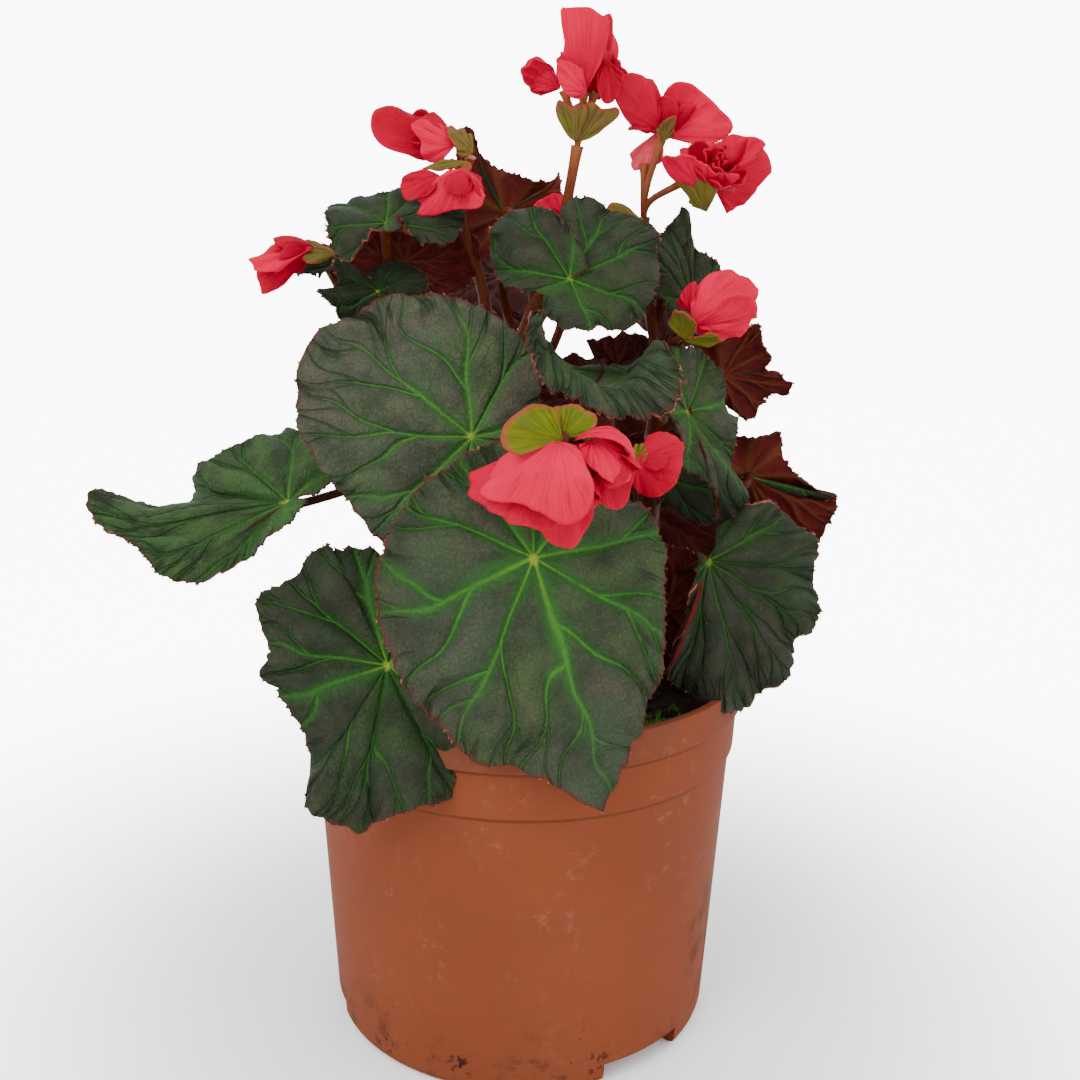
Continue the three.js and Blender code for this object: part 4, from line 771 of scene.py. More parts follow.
def pot_material(settings):
    kit = MaterialKit("pot_plastic", Specular_IOR_Level=0.04)
    place = kit.place()
    x, z = kit.split(place, "XZ")
    marks = kit.group(speckle_group(), Vector=place, Scale=420.0)
    broad = kit.noise(place, 22.0, 4.0)
    dust = kit.noise(place, 60.0, 4.0).smooth(0.3, 0.75, 0.15, 0.7)
    colour = kit.layers(
        settings.colour,
        (broad.smooth(0.3, 0.75), (0.150, 0.037, 0.015)),
        (z.smooth(0.0990, 0.1020, 0.25, 1.0) * dust, settings.dust_colour),
        (marks["Scuffs"] * z.smooth(0.015, 0.05, 0.12, 0.36), (0.21, 0.080, 0.050)))
    # Painted shadow: a thin dark line under the lip's lower edge and one under the band's bead
    for height in SHADE_LINE_HEIGHTS:
        shade_line = abs(z - height).smooth(0.0002, 0.0010, 0.5, 0.0)
        colour = kit.mix(shade_line, colour, (0.045, 0.012, 0.006))
    grime = kit.noise(place, 85.0, 5.0, 0.65).smooth(0.52, 0.66)
    colour = kit.mix(z.smooth(0.003, 0.028, 1.0, 0.0) * grime * 0.7, colour, (0.04, 0.014, 0.008))
    for spot in DIRT_SPOTS:
        far = kit.out("Value", "ShaderNodeVectorMath", {0: place, 1: spot}, operation="DISTANCE")
        near = far.smooth(0.001, 0.0092, 1.0, 0.0)
        crumbs = (kit.noise(place, 400.0, 4.0, 0.6) + near * 0.16).smooth(0.56, 0.65)
        colour = kit.mix(crumbs * near.smooth(0.0, 0.5, 0.0, 0.9), colour, (0.008, 0.004, 0.003))
    smear = abs(z - SMEAR_HEIGHT).smooth(0.006, 0.026, 0.7, 0.0) * x.smooth(0.046, 0.052)
    colour = kit.layers(
        colour,
        (smear * kit.noise(place, 110.0, 4.0).smooth(0.42, 0.60), (0.040, 0.016, 0.006)),
        (marks["Specks"] * z.smooth(0.01, 0.05, 0.9, 0.12), (0.015, 0.007, 0.004)))
    grain = kit.noise(place, 900.0, 2.0) + broad * 2.0
    return kit.finish(colour, broad.smooth(0.3, 0.7, 0.6, 0.74), grain, 0.00008)


def soil_material(settings):
    kit = MaterialKit("potting_soil", Specular_IOR_Level=0.15)
    place = kit.place()
    fine, broad = kit.noise(place, 420.0, 6.0, 0.7), kit.noise(place, 60.0, 3.0)
    colour = kit.layers(
        settings.colour,
        (fine.smooth(0.35, 0.7), (0.04, 0.024, 0.016)),
        (broad.smooth(0.55, 0.75, 0.0, 0.5), (0.018, 0.024, 0.008)))
    return kit.finish(colour, fine.smooth(0.3, 0.8, 0.75, 0.98), fine, 0.0011)


def moss_material():
    kit = MaterialKit("moss_green", Specular_IOR_Level=0.15)
    fine = kit.noise(kit.place(), 300.0, 4.0)
    return kit.finish(kit.mix(fine, (0.028, 0.085, 0.010), (0.10, 0.22, 0.030)), 0.8)


def stem_material(settings):
    kit = MaterialKit("stem_skin", Specular_IOR_Level=0.07)
    place = kit.place()
    z, = kit.split(place, "Z")
    streaks = kit.noise(kit.stretched(place, 1.0, 1.0, 0.14), 620.0, 4.0)
    colour = kit.layers(
        settings.low_colour,
        (z.smooth(0.12, 0.22), settings.high_colour),
        (z.smooth(0.233, 0.262), settings.tip_colour),
        (streaks.smooth(0.45, 0.75, 0.0, 0.5), (0.060, 0.030, 0.006)),
        (kit.noise(place, 70.0).smooth(0.5, 0.75, 0.0, 0.5), (0.050, 0.005, 0.003)),
        (kit.cells(place, 520.0).smooth(0.10, 0.22, 0.35, 0.0), (0.13, 0.07, 0.035)))
    return kit.finish(colour, streaks.smooth(0.3, 0.8, 0.34, 0.55), streaks, 0.0002)


def upper_material(settings):
    kit = MaterialKit("leaf_upper", Specular_IOR_Level=0.06)
    flat, turns = kit.uv("flat"), kit.uv("veins")
    veins = kit.group(vein_group(), Coordinate=turns, Flat=flat, Width=0.0105)
    names = ("share", "rim", "tone", "green", "vivid")
    share, rim, tone, green, vivid = (kit.attribute(name) for name in names)

    def toned(dark, pale):
        return kit.mix(tone, dark, pale)

    cloud = kit.noise(flat, 2.6, 3.0, 0.55).smooth(0.36, 0.62)
    olive = kit.noise(flat, 1.7, 3.0, 0.5).smooth(0.46, 0.62, 0.0, 0.7)
    shade = kit.noise(flat, 5.0, 4.0, 0.6).smooth(0.36, 0.60, 0.75, 0.0)
    grain = kit.noise(flat, 95.0, 3.0, 0.7)
    lush = toned((0.010, 0.042, 0.007), (0.024, 0.104, 0.018))
    main = veins["Main"] * share.smooth(0.32, 0.95, 0.9, 0.24) * vivid.smooth(0.0, 1.0, 0.35, 1.0)
    near = veins["Main"] * share.smooth(0.03, 0.26, 0.75, 0.0) * vivid.smooth(0.0, 1.0, 0.25, 0.9)
    # Painted shade: dark lines in the creases between the veins near the edge. The same mask also
    # sinks these creases in the bump.
    pleat = kit.noise(kit.stretched(turns, 6.5, 1.6, 1.0), 1.0, 3.0, 0.6)
    crease = pleat.smooth(0.54, 0.66) * share.smooth(0.68, 0.92)
    worn = kit.noise(flat, 6.0, 4.0).smooth(0.38, 0.56, 0.15, 1.0)
    edge = rim.smooth(0.962, 0.990, 0.0, 0.85) * worn
    # Greyish-brown patches: partly the leaf's own grey-purple colour between the veins, partly
    # painted sheen.
    cloud_and_sheen = cloud * share.smooth(0.1, 0.6, 0.5, 0.95)
    # Painted shade: the hollow round the hub, between the veins, is darkened towards dark green.
    hub_shade = share.smooth(0.05, 0.26, 0.85, 0.0) * vivid
    pale_grain = grain.smooth(0.50, 0.76, 0.0, 0.35)
    specks = kit.cells(flat, 30.0).smooth(0.03, 0.06, 0.55, 0.0)
    colour = kit.layers(
        toned(settings.dark_colour, settings.pale_colour),
        # greyish-brown patches, partly painted sheen
        (cloud_and_sheen, toned((0.018, 0.011, 0.008), (0.076, 0.060, 0.046))),
        (olive, toned((0.010, 0.022, 0.005), (0.052, 0.085, 0.026))),
        (green * 0.8, toned((0.010, 0.036, 0.009), (0.048, 0.135, 0.026))),
        (shade, toned((0.005, 0.005, 0.003), (0.026, 0.030, 0.018))),
        (grain.smooth(0.42, 0.62, 0.30, 0.0), (0.010, 0.012, 0.007)),
        (pale_grain, toned((0.024, 0.028, 0.017), (0.105, 0.118, 0.080))),
        # blue-green tint beside the veins, with painted shade that makes the blade between them
        # look raised
        (veins["ValleyTintAndShade"] * 0.34, toned((0.005, 0.011, 0.006), (0.020, 0.034, 0.022))),
        # painted shade in the hollow round the hub
        (hub_shade, toned((0.004, 0.014, 0.003), (0.014, 0.042, 0.010))),
        (veins["Glow"] * vivid.smooth(0.0, 1.0, 0.30, 0.95), lush),
        (veins["Net"] * 0.14, (0.030, 0.050, 0.018)),
        (veins["Side"] * 0.26, lush),
        (main, toned((0.020, 0.062, 0.010), settings.vein_colour)),
        (near, (0.080, 0.17, 0.010)),
        (share.smooth(0.012, 0.045, 1.0, 0.0), (0.16, 0.20, 0.022)),
        # painted shade in the creases near the edge
        (crease * 0.75, (0.007, 0.009, 0.004)),
        (edge, settings.margin_colour),
        (specks * kit.noise(flat, 4.0).smooth(0.56, 0.66), (0.19, 0.18, 0.13)))
    height = veins["Height"] + grain * 0.35 - crease * 0.8
    return kit.finish(colour, grain.smooth(0.3, 0.8, 0.46, 0.62), height, 0.0009)


def under_material(settings):
    kit = MaterialKit("leaf_under", Specular_IOR_Level=0.04)
    flat = kit.uv("flat")
    veins = kit.group(vein_group(), Coordinate=kit.uv("veins"), Flat=flat, Width=0.024)
    cloud = kit.noise(flat, 6.0, 4.0, 0.6)
    colour = kit.layers(
        settings.under_colour,
        (cloud.smooth(0.3, 0.7), (0.070, 0.009, 0.007)),
        (veins["Glow"] * 0.35, (0.060, 0.018, 0.004)),
        (veins["Net"] * 0.2, (0.070, 0.013, 0.006)),
        (veins["Main"] * 0.5, (0.080, 0.026, 0.010)))
    return kit.finish(colour, cloud.smooth(0.3, 0.7, 0.55, 0.7), veins["Height"] * -1.0, 0.0005)


def margin_material(settings):
    kit = MaterialKit("leaf_margin", Specular_IOR_Level=0.1)
    fleck = kit.noise(kit.place(), 110.0, 3.0).smooth(0.50, 0.64)
    return kit.finish(kit.mix(fleck, settings.margin_colour, (0.20, 0.070, 0.048)), 0.6)


def petal_material(settings):
    kit = MaterialKit(
        "petal_coral", Subsurface_Weight=0.1, Subsurface_Scale=0.002,
        Subsurface_Radius=(1.0, 0.2, 0.15), Specular_IOR_Level=0.03)
    out = kit.uv("petal")
    along, = kit.split(out, "Y")
    lines = kit.noise(kit.stretched(out, 22.0, 1.2, 1.0), 1.6, 4.0, 0.62)
    tone = kit.attribute("tone")
    mottled = tone + kit.noise(kit.place(), 55.0, 3.0).smooth(0.3, 0.7, -0.2, 0.2)
    mottled = kit.out(0, "ShaderNodeClamp", {"Value": mottled})
    colour = kit.layers(
        settings.light_colour,
        (mottled, settings.deep_colour),
        (tone.smooth(-0.5, 0.0, 0.6, 0.0), (0.55, 0.09, 0.11)),
        (lines.smooth(0.5, 0.72, 0.0, 0.5), (0.24, 0.0, 0.011)),
        (along.smooth(0.93, 1.0, 0.0, 0.4), (0.42, 0.002, 0.020)),
        (along.smooth(0.0, 0.18, 0.5, 0.0), (0.34, 0.035, 0.030)))
    return kit.finish(colour, lines.smooth(0.3, 0.8, 0.45, 0.6), lines, 0.00035)


def bract_material(settings):
    kit = MaterialKit("bract_olive", Specular_IOR_Level=0.1)
    out, place = kit.uv("petal"), kit.place()
    across, along = kit.split(out, "XY")
    z, = kit.split(place, "Z")
    lines = kit.noise(kit.stretched(out, 16.0, 1.4, 1.0), 1.5, 4.0, 0.6)
    ripe = z.smooth(0.200, 0.220) * kit.noise(place, 150.0).smooth(0.3, 0.7, 0.35, 0.9)
    edge = kit.math("MAXIMUM", abs(across - 0.5).smooth(0.44, 0.5), along.smooth(0.86, 0.98))
    colour = kit.layers(
        settings.bract_colour,
        (lines.smooth(0.35, 0.7), (0.055, 0.075, 0.003)),
        (ripe, (0.105, 0.058, 0.016)),
        (edge * 0.8, (0.22, 0.030, 0.018)))
    return kit.finish(colour, 0.5, lines, 0.0003)


def floor_material():
    """Pale paper that the camera sees as white away from the pot."""
    kit = MaterialKit("floor_paper", Specular_IOR_Level=0.1, Emission_Strength=8.0)
    place = kit.place()
    far = kit.out("Value", "ShaderNodeVectorMath", {0: place}, operation="LENGTH")
    seen = kit.out("Is Camera Ray", "ShaderNodeLightPath")
    white = kit.mix(seen * far.smooth(0.08, 0.36, 0.0, 1.0), (0, 0, 0), (1, 1, 1))
    kit.feed(kit.shader.inputs["Emission Color"], white)
    return kit.finish(kit.mix(kit.noise(place, 3.0), (0.89, 0.89, 0.89), (0.91, 0.91, 0.91)), 0.9)


# Meshes


def mesh_of(shape, name):
    data = bpy.data.meshes.new(name)
    shape.to_mesh(data)
    shape.free()
    return data


def new_object(data, name):
    made = bpy.data.objects.new(name, data)
    bpy.context.scene.collection.objects.link(made)
    return made


def dressed(data, materials):
    """Gives a mesh its materials and smooth shading."""
    data.materials.clear()
    for material in materials:
        data.materials.append(material)
    data.polygons.foreach_set("use_smooth", [True] * len(data.polygons))
    return data


def piece_of(data, name, materials, slot, *nodes):
    """Makes a piece of a mesh, rides it on the root body and hides the model parts that it stands
    for.
    """
    if isinstance(data, bmesh.types.BMesh):
        data = mesh_of(data, name)
    data.name = name
    made = new_object(dressed(data, materials), name)
    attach(made, "root")
    if nodes:
        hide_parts(*nodes)
    return made


def thicken(made, thickness):
    wall = made.modifiers.new("thickness", "SOLIDIFY")
    wall.thickness, wall.offset = thickness, 0
    return wall


def evaluated_mesh(made):
    """The mesh of an object with its modifiers or curve applied. The object itself is removed."""
    bpy.context.view_layer.update()
    graph = bpy.context.evaluated_depsgraph_get()
    data = bpy.data.meshes.new_from_object(made.evaluated_get(graph))
    bpy.data.objects.remove(made)
    return data


def spun(profile, steps):
    """A surface of revolution from a profile of (radius, height) in millimetres."""
    shape = bmesh.new()
    points = [shape.verts.new((radius * MM, 0, height * MM)) for radius, height in profile]
    edges = [shape.edges.new(pair) for pair in zip(points, points[1:])]
    bmesh.ops.spin(
        shape, geom=points + edges, cent=(0, 0, 0), axis=(0, 0, 1), dvec=(0, 0, 0),
        angle=math.tau, steps=steps, use_merge=True, use_duplicate=False)
    bmesh.ops.remove_doubles(shape, verts=shape.verts, dist=1e-6)
    return shape


def turned(profile, steps):
    """A closed solid of revolution with its normals outward."""
    shape = spun(profile, steps)
    bmesh.ops.recalc_face_normals(shape, faces=shape.faces)
    return shape


def rounded(profile, radius, segments=3):
    """Rounds the inner corners of a profile by cutting each with a short arc."""
    made = [profile[0]]
    for before, corner, after in zip(profile, profile[1:], profile[2:]):
        here = Vector(corner)
        back, ahead = Vector(before) - here, Vector(after) - here
        cut = min(radius, back.length * 0.45, ahead.length * 0.45)
        first, last = here + back.normalized() * cut, here + ahead.normalized() * cut
        for k in range(segments + 1):
            t = k / segments
            made.append(tuple(first * (1 - t) ** 2 + here * 2 * t * (1 - t) + last * t ** 2))
    made.append(profile[-1])
    return made


class BEGONIA_OT_pot(bpy.types.Operator):
    """Turn the nursery pot and cut its notches and drain holes"""

    bl_idname = "begonia.pot"
    bl_label = "Pot"

    lip_depth, lip_step = 9.5, 2.5
    band_bottom, band_radius = 86.9, 62.9
    foot = 7
    notches, first_notch, notch_size = 3, -51, (0.030, 0.028, 0.0126)
    holes, hole_radius, hole_distance = 6, 0.004, 0.030
    sides, hole_sides, cutter_depth, crease = 144, 32, 0.02, 32

    def profile(self, settings):
        height, rim = settings.height / MM, settings.rim_radius / MM
        base, wall = settings.base_radius / MM, settings.wall / MM
        lip_bottom, floor = height - self.lip_depth, self.foot + wall
        band_bottom, band = self.band_bottom, self.band_radius
        below = base + (band - 1.1 - base) * (band_bottom - 4) / (band_bottom - 3)
        return rounded([
            (0, 0), (14, 0), (14, self.foot), (47, self.foot), (48, 0), (base - 3, 0),
            (base - 0.7, 0.9), (base, 3), (below, band_bottom - 1), (band, band_bottom),
            (rim - 1.5, lip_bottom - 0.4), (rim, lip_bottom + 0.2), (rim, height),
            (rim - self.lip_step, height), (rim - self.lip_step, lip_bottom),
            (band - wall, band_bottom - 2), (base + 0.7 - wall, floor + 3),
            (base - wall - 3, floor), (0, floor)], 0.5)

    def execute(self, context):
        settings = context.scene.begonia_pot
        blank = turned(self.profile(settings), self.sides)
        pot = new_object(mesh_of(blank, "pot_blank"), "pot_blank")
        cutter = bmesh.new()
        for turn in range(self.notches):
            angle = math.radians(self.first_notch + 360 / self.notches * turn)
            place = Matrix.Rotation(angle, 4, "Z")
            place = place @ Matrix.Translation((settings.base_radius, 0, 0))
            bmesh.ops.create_cube(
                cutter, size=1, matrix=place @ Matrix.Diagonal((*self.notch_size, 1)))
        for turn in range(self.holes):
            place = Matrix.Rotation(math.radians(360 / self.holes * turn), 4, "Z")
            bmesh.ops.create_cone(
                cutter, cap_ends=True, segments=self.hole_sides, radius1=self.hole_radius,
                radius2=self.hole_radius, depth=self.cutter_depth,
                matrix=place @ Matrix.Translation((self.hole_distance, 0, self.foot * MM)))
        tool = new_object(mesh_of(cutter, "pot_cutter"), "pot_cutter")
        cut = pot.modifiers.new("cut", "BOOLEAN")
        cut.operation, cut.solver, cut.object = "DIFFERENCE", "EXACT", tool
        data = evaluated_mesh(pot)
        bpy.data.objects.remove(tool)
        made = piece_of(data, "pot_moulded", [pot_material(settings)], "pot", "pot")
        made.data.set_sharp_from_angle(angle=math.radians(self.crease))
        return {"FINISHED"}


class BEGONIA_OT_soil(bpy.types.Operator):
    """Fill the pot with soil, and scatter crumbs and moss on it"""

    bl_idname = "begonia.soil"
    bl_label = "Soil"

    sides, rings, ring_step, edge_radius = 150, 55, 1.1, 60.2
    crumb_radius, moss_radius, tuft_stalks = 59, 58, 6

    def surface(self, level):
        """The filling with a lumpy top."""
        top = [
            (60.7 - k * self.ring_step, level - 2 + 2 * (1 - math.exp(-k / 4)) + k * 0.035)
            for k in range(self.rings)]
        shape = turned([(0, 9), (52, 9), (54.6, 13), (60.2, 84), *top, (0, level + 2)], self.sides)
        for vert in shape.verts:
            radius = math.hypot(vert.co.x, vert.co.y) / MM
            if vert.co.z > (level - 3) * MM and radius < self.edge_radius:
                lump = noise.noise(vert.co * 90) * 1.3 + noise.noise(vert.co * 330) * 0.7
                vert.co.z += lump * min(1, (self.edge_radius + 0.2 - radius) / 3) * MM
        return shape

    def crumbs(self, count, level, draw):
        shape = bmesh.new()
        for _ in range(count):
            radius, angle = self.crumb_radius * math.sqrt(draw.random()), draw.random() * math.tau
            size = draw.uniform(0.6, 1.9) * MM
            place = Vector((
                radius * math.cos(angle), radius * math.sin(angle),
                level + draw.uniform(-0.4, 1.2)))
            matrix = Matrix.Translation(place * MM) @ Matrix.Rotation(draw.random() * 6, 4, "X")
            matrix = matrix @ Matrix.Diagonal((size, size * draw.uniform(0.5, 1), size * 0.7, 1))
            bmesh.ops.create_icosphere(shape, subdivisions=1, radius=1, matrix=matrix)
        return shape

    def moss(self, count, level, draw):
        shape = bmesh.new()
        for _ in range(count):
            spot = Vector((draw.gauss(34, 11), draw.gauss(-34, 8), level + 0.3))
            if math.hypot(spot.x, spot.y) > self.moss_radius:
                continue
            for _ in range(self.tuft_stalks):
                lean = Matrix.Rotation(draw.uniform(-0.7, 0.7), 4, "X")
                lean = lean @ Matrix.Rotation(draw.uniform(-0.7, 0.7), 4, "Y")
                offset = Vector((draw.gauss(0, 0.9), draw.gauss(0, 0.9), draw.uniform(0.4, 1.4)))
                bmesh.ops.create_cone(
                    shape, cap_ends=True, segments=4, radius1=0.5 * MM, radius2=0.06 * MM,
                    depth=draw.uniform(1.8, 3.6) * MM,
                    matrix=Matrix.Translation((spot + offset) * MM) @ lean)
        return shape

    def execute(self, context):
        settings = context.scene.begonia_soil
        level, draw = settings.level / MM, random.Random(settings.seed)
        earth = [soil_material(settings)]
        piece_of(self.surface(level), "soil_filling", earth, "soil", "soil")
        piece_of(self.crumbs(settings.crumbs, level, draw), "soil_crumbs", earth, "soil")
        piece_of(self.moss(settings.moss, level, draw), "soil_moss", [moss_material()], "soil")
        return {"FINISHED"}


# Curves


def through(points, share):
    """A point of the smooth curve through the points, spaced by the root of their distances."""
    last = len(points) - 1
    k = min(int(last * share), last - 1)
    t = last * share - k
    p1, p2 = Vector(points[k]), Vector(points[k + 1])
    p0 = Vector(points[k - 1]) if k > 0 else 2 * p1 - p2
    p3 = Vector(points[k + 2]) if k + 2 <= last else 2 * p2 - p1
    d0, d1, d2 = ((a - b).length ** 0.5 for a, b in ((p0, p1), (p1, p2), (p2, p3)))
    start = ((p1 - p0) / d0 - (p2 - p0) / (d0 + d1) + (p2 - p1) / d1) * d1
    end = ((p2 - p1) / d1 - (p3 - p1) / (d1 + d2) + (p3 - p2) / d2) * d1
    return (
        p1 + start * t + (3 * (p2 - p1) - 2 * start - end) * t ** 2
        + (2 * (p1 - p2) + start + end) * t ** 3)


def placement(sheet):
    """The matrix that stands a sheet's own axes at its hub: +Y along the aim, +Z to the face."""
    forward = sheet.aim.normalized()
    up = (sheet.face - forward * sheet.face.dot(forward)).normalized()
    matrix = Matrix((forward.cross(up), forward, up)).transposed().to_4x4()
    matrix.translation = sheet.hub
    return matrix


def add_tube(curve, steps, place, width):
    """A tube with the centre and the radius that place and width give for a share of its way."""
    spline = curve.splines.new("POLY")
    spline.points.add(steps)
    for k, target in enumerate(spline.points):
        target.co = (*(place(k / steps) * MM), 1)
        target.radius = width(k / steps) * MM


def add_stalk(curve, steps, start, lift, entry, end, width):
    """A tube along the cubic curve that leaves start towards lift and reaches end by entry."""
    def place(t):
        s = 1 - t
        return start * s ** 3 + lift * 3 * s * s * t + entry * 3 * s * t * t + end * t ** 3

    add_tube(curve, steps, place, width)


class BEGONIA_OT_stems(bpy.types.Operator):
    """Grow the leafy stems with their leaf stalks and flower stalks"""

    bl_idname = "begonia.stems"
    bl_label = "Stems"

    stem_steps, leaf_steps, flower_steps, bloom_steps = 40, 18, 24, 12
    swelling_length = 0.018

    def add_stem(self, curve, points, starts, radius):
        def width(share):
            swelling = sum(
                math.exp(-((share - start) / self.swelling_length) ** 2) for start in starts)
            return radius * (1 - 0.30 * share) * (1 + 0.12 * min(swelling, 1))

        add_tube(curve, self.stem_steps, lambda share: through(points, share), width)

    def add_leaf_stalk(self, curve, points, blade, radius):
        start, matrix = through(points, blade.start), placement(blade)
        end = matrix @ Vector((0, 0, -0.2))
        entry = matrix @ Vector((0, 0, -(0.7 + blade.drop * (start - end).length)))
        add_stalk(
            curve, self.leaf_steps, start, start.lerp(entry, 0.4), entry, end,
            lambda s: radius * (0.86 + 0.5 * math.exp(-s * 9) + 0.3 * math.exp(-(1 - s) * 12)))

    def add_flower_stalk(self, curve, route, ends, radius):
        add_tube(
            curve, self.flower_steps, lambda s: through(route, s),
            lambda s: radius * (1.15 - 0.2 * s + 0.3 * math.exp(-(1 - s) * 14)))
        joint = Vector(route[-1])
        rising = (joint - Vector(route[-2])).normalized()
        for end in map(Vector, ends):
            add_stalk(
                curve, self.bloom_steps, joint, joint + rising * (end - joint).length * 0.4,
                end.lerp(joint, 0.35), end,
                lambda s: radius * (0.62 + 0.45 * math.exp(-(1 - s) * 7)))

    def execute(self, context):
        settings = context.scene.begonia_stems
        skin = stem_material(settings)
        for name, points in STEMS.items():
            curve = bpy.data.curves.new(f"stem_{name}", "CURVE")
            curve.dimensions, curve.bevel_depth, curve.bevel_resolution = "3D", 1.0, 4
            curve.use_fill_caps = True
            blades = [blade for blade in LEAVES.values() if blade.stem == name]
            starts = [blade.start for blade in blades]
            self.add_stem(curve, points, starts, settings.stem_radius / MM)
            for blade in blades:
                self.add_leaf_stalk(curve, points, blade, settings.petiole_radius / MM)
            for stem, start, places, ends in STALKS:
                if stem == name:
                    route = [through(points, start), *places]
                    self.add_flower_stalk(curve, route, ends, settings.peduncle_radius / MM)
            data = evaluated_mesh(new_object(curve, f"stem_{name}_curve"))
            piece_of(data, f"stem_{name}_grown", [skin], "stem", f"stem_{name}")
        return {"FINISHED"}


# Leaves


def bend(distance, height, turn, size):
    """Bends a flat strip so that it has turned down by the angle at one size out."""
    curvature = math.radians(turn) / size
    if abs(curvature) < 1e-7:
        return distance, height
    angle = curvature * abs(distance)
    along = math.sin(angle) / curvature + height * math.sin(angle)
    return (
        math.copysign(along, distance),
        height * math.cos(angle) - (1 - math.cos(angle)) / curvature)


def sheet_point(sheet, theta, radius, lift):
    """A point of the bent sheet, from its angle and distance on the flat one."""
    share = radius / sheet.size
    flat_x, flat_y = radius * math.sin(theta), radius * math.cos(theta)
    height = sheet.cup * sheet.size * share ** 2
    height += sheet.wave * share ** 2 * swell(sheet, theta) + lift
    tip, left, right, base = (*sheet.bends, 0)[:4]
    x, height = bend(flat_x, height, right if flat_x > 0 else left, sheet.size)
    y, height = bend(flat_y, height, tip if flat_y > 0 else base, sheet.size)
    return Vector((x, y, height))


def swell(sheet, theta):
    return math.cos(theta * sheet.waves + math.radians(sheet.phase))


def smooth_run(values, place):
    """A value of the smooth run through numbers or points, at a place counted along them."""
    last = len(values) - 1
    k = min(max(int(place), 0), last - 1)
    t = place - k
    a, b, c, d = (values[min(max(k + step, 0), last)] for step in (-1, 0, 1, 2))
    return b + 0.5 * t * (c - a + t * (2 * a - 5 * b + 4 * c - d + t * (3 * (b - c) + d - a)))


class Trace:
    """A blade that is traced by its edge: it runs from the hub to a ridge and on to the edge."""

    def __init__(self, leaf):
        self.hub, self.bowl = leaf.hub, leaf.bowl
        self.edge = [Vector(point) for point in leaf.edge]
        self.ridge = [Vector(point) for point in leaf.ridge]
        self.ridge = self.ridge or [self.hub.lerp(point, 0.55) for point in self.edge]
        self.steps = [0]
        for first, second in zip(self.edge, self.edge[1:]):
            self.steps.append(self.steps[-1] + (second - first).length + 1)

    def across(self, theta):
        """The points of the ridge and of the edge. Equal angles are about equal lengths of edge."""
        share = min(max((theta + BLADE_LIMIT) / (2 * BLADE_LIMIT), 0), 1)
        length = share * self.steps[-1]
        k = min(max(bisect.bisect_right(self.steps, length) - 1, 0), len(self.steps) - 2)
        place = k + (length - self.steps[k]) / (self.steps[k + 1] - self.steps[k])
        return smooth_run(self.ridge, place), smooth_run(self.edge, place)

    def length(self, theta):
        ridge, edge = self.across(theta)
        return (ridge - self.hub).length + (edge - ridge).length

    def point(self, theta, share):
        ridge, edge = self.across(theta)
        steep = Vector((ridge.x, ridge.y, self.hub.z))
        rise = self.hub.lerp(ridge, 0.5).lerp(steep, self.bowl)
        if share < 0.5:
            t = share * 2
            return self.hub * (1 - t) ** 2 + rise * 2 * t * (1 - t) + ridge * t * t
        t = share * 2 - 1
        span = edge - ridge
        over = ridge + (ridge - rise).normalized() * span.length * 0.35 + span * 0.15
        return ridge * (1 - t) ** 2 + over * 2 * t * (1 - t) + edge * t * t

    def normal(self, theta, share):
        share = min(max(share, 0.08), 0.95)
        theta = min(max(theta, 0.06 - BLADE_LIMIT), BLADE_LIMIT - 0.06)
        around = self.point(theta + 0.05, share) - self.point(theta - 0.05, share)
        outward = self.point(theta, share + 0.04) - self.point(theta, share - 0.04)
        return around.cross(outward).normalized()


def outline_of(sheet):
    """The sheet's smooth outline: a radius for each angle."""
    reach = sheet.reach or [share * sheet.size for share in PLAIN_REACH]
    limit = math.radians(sheet.fan)
    return lambda theta: smooth_run(reach, (theta + limit) / (2 * limit) * (len(reach) - 1))


def vein_offset(turn, distance):
    """Distance to the nearest main vein or fork, as a share of the blade's size."""
    sector = math.floor(turn + 0.5)
    away = (turn - sector) * VEIN_SECTOR * distance
    apart = nearest = abs(away)
    for k, (start, slope, thinning) in enumerate(FORKS):
        stagger = math.copysign(FORK_STAGGER, away) * (-1) ** k
        past = max(0, distance - start - FORK_SHIFT * math.sin(sector * FORK_PACE + k) - stagger)
        nearest = min(nearest, abs(apart - past * slope) * thinning)
    return nearest


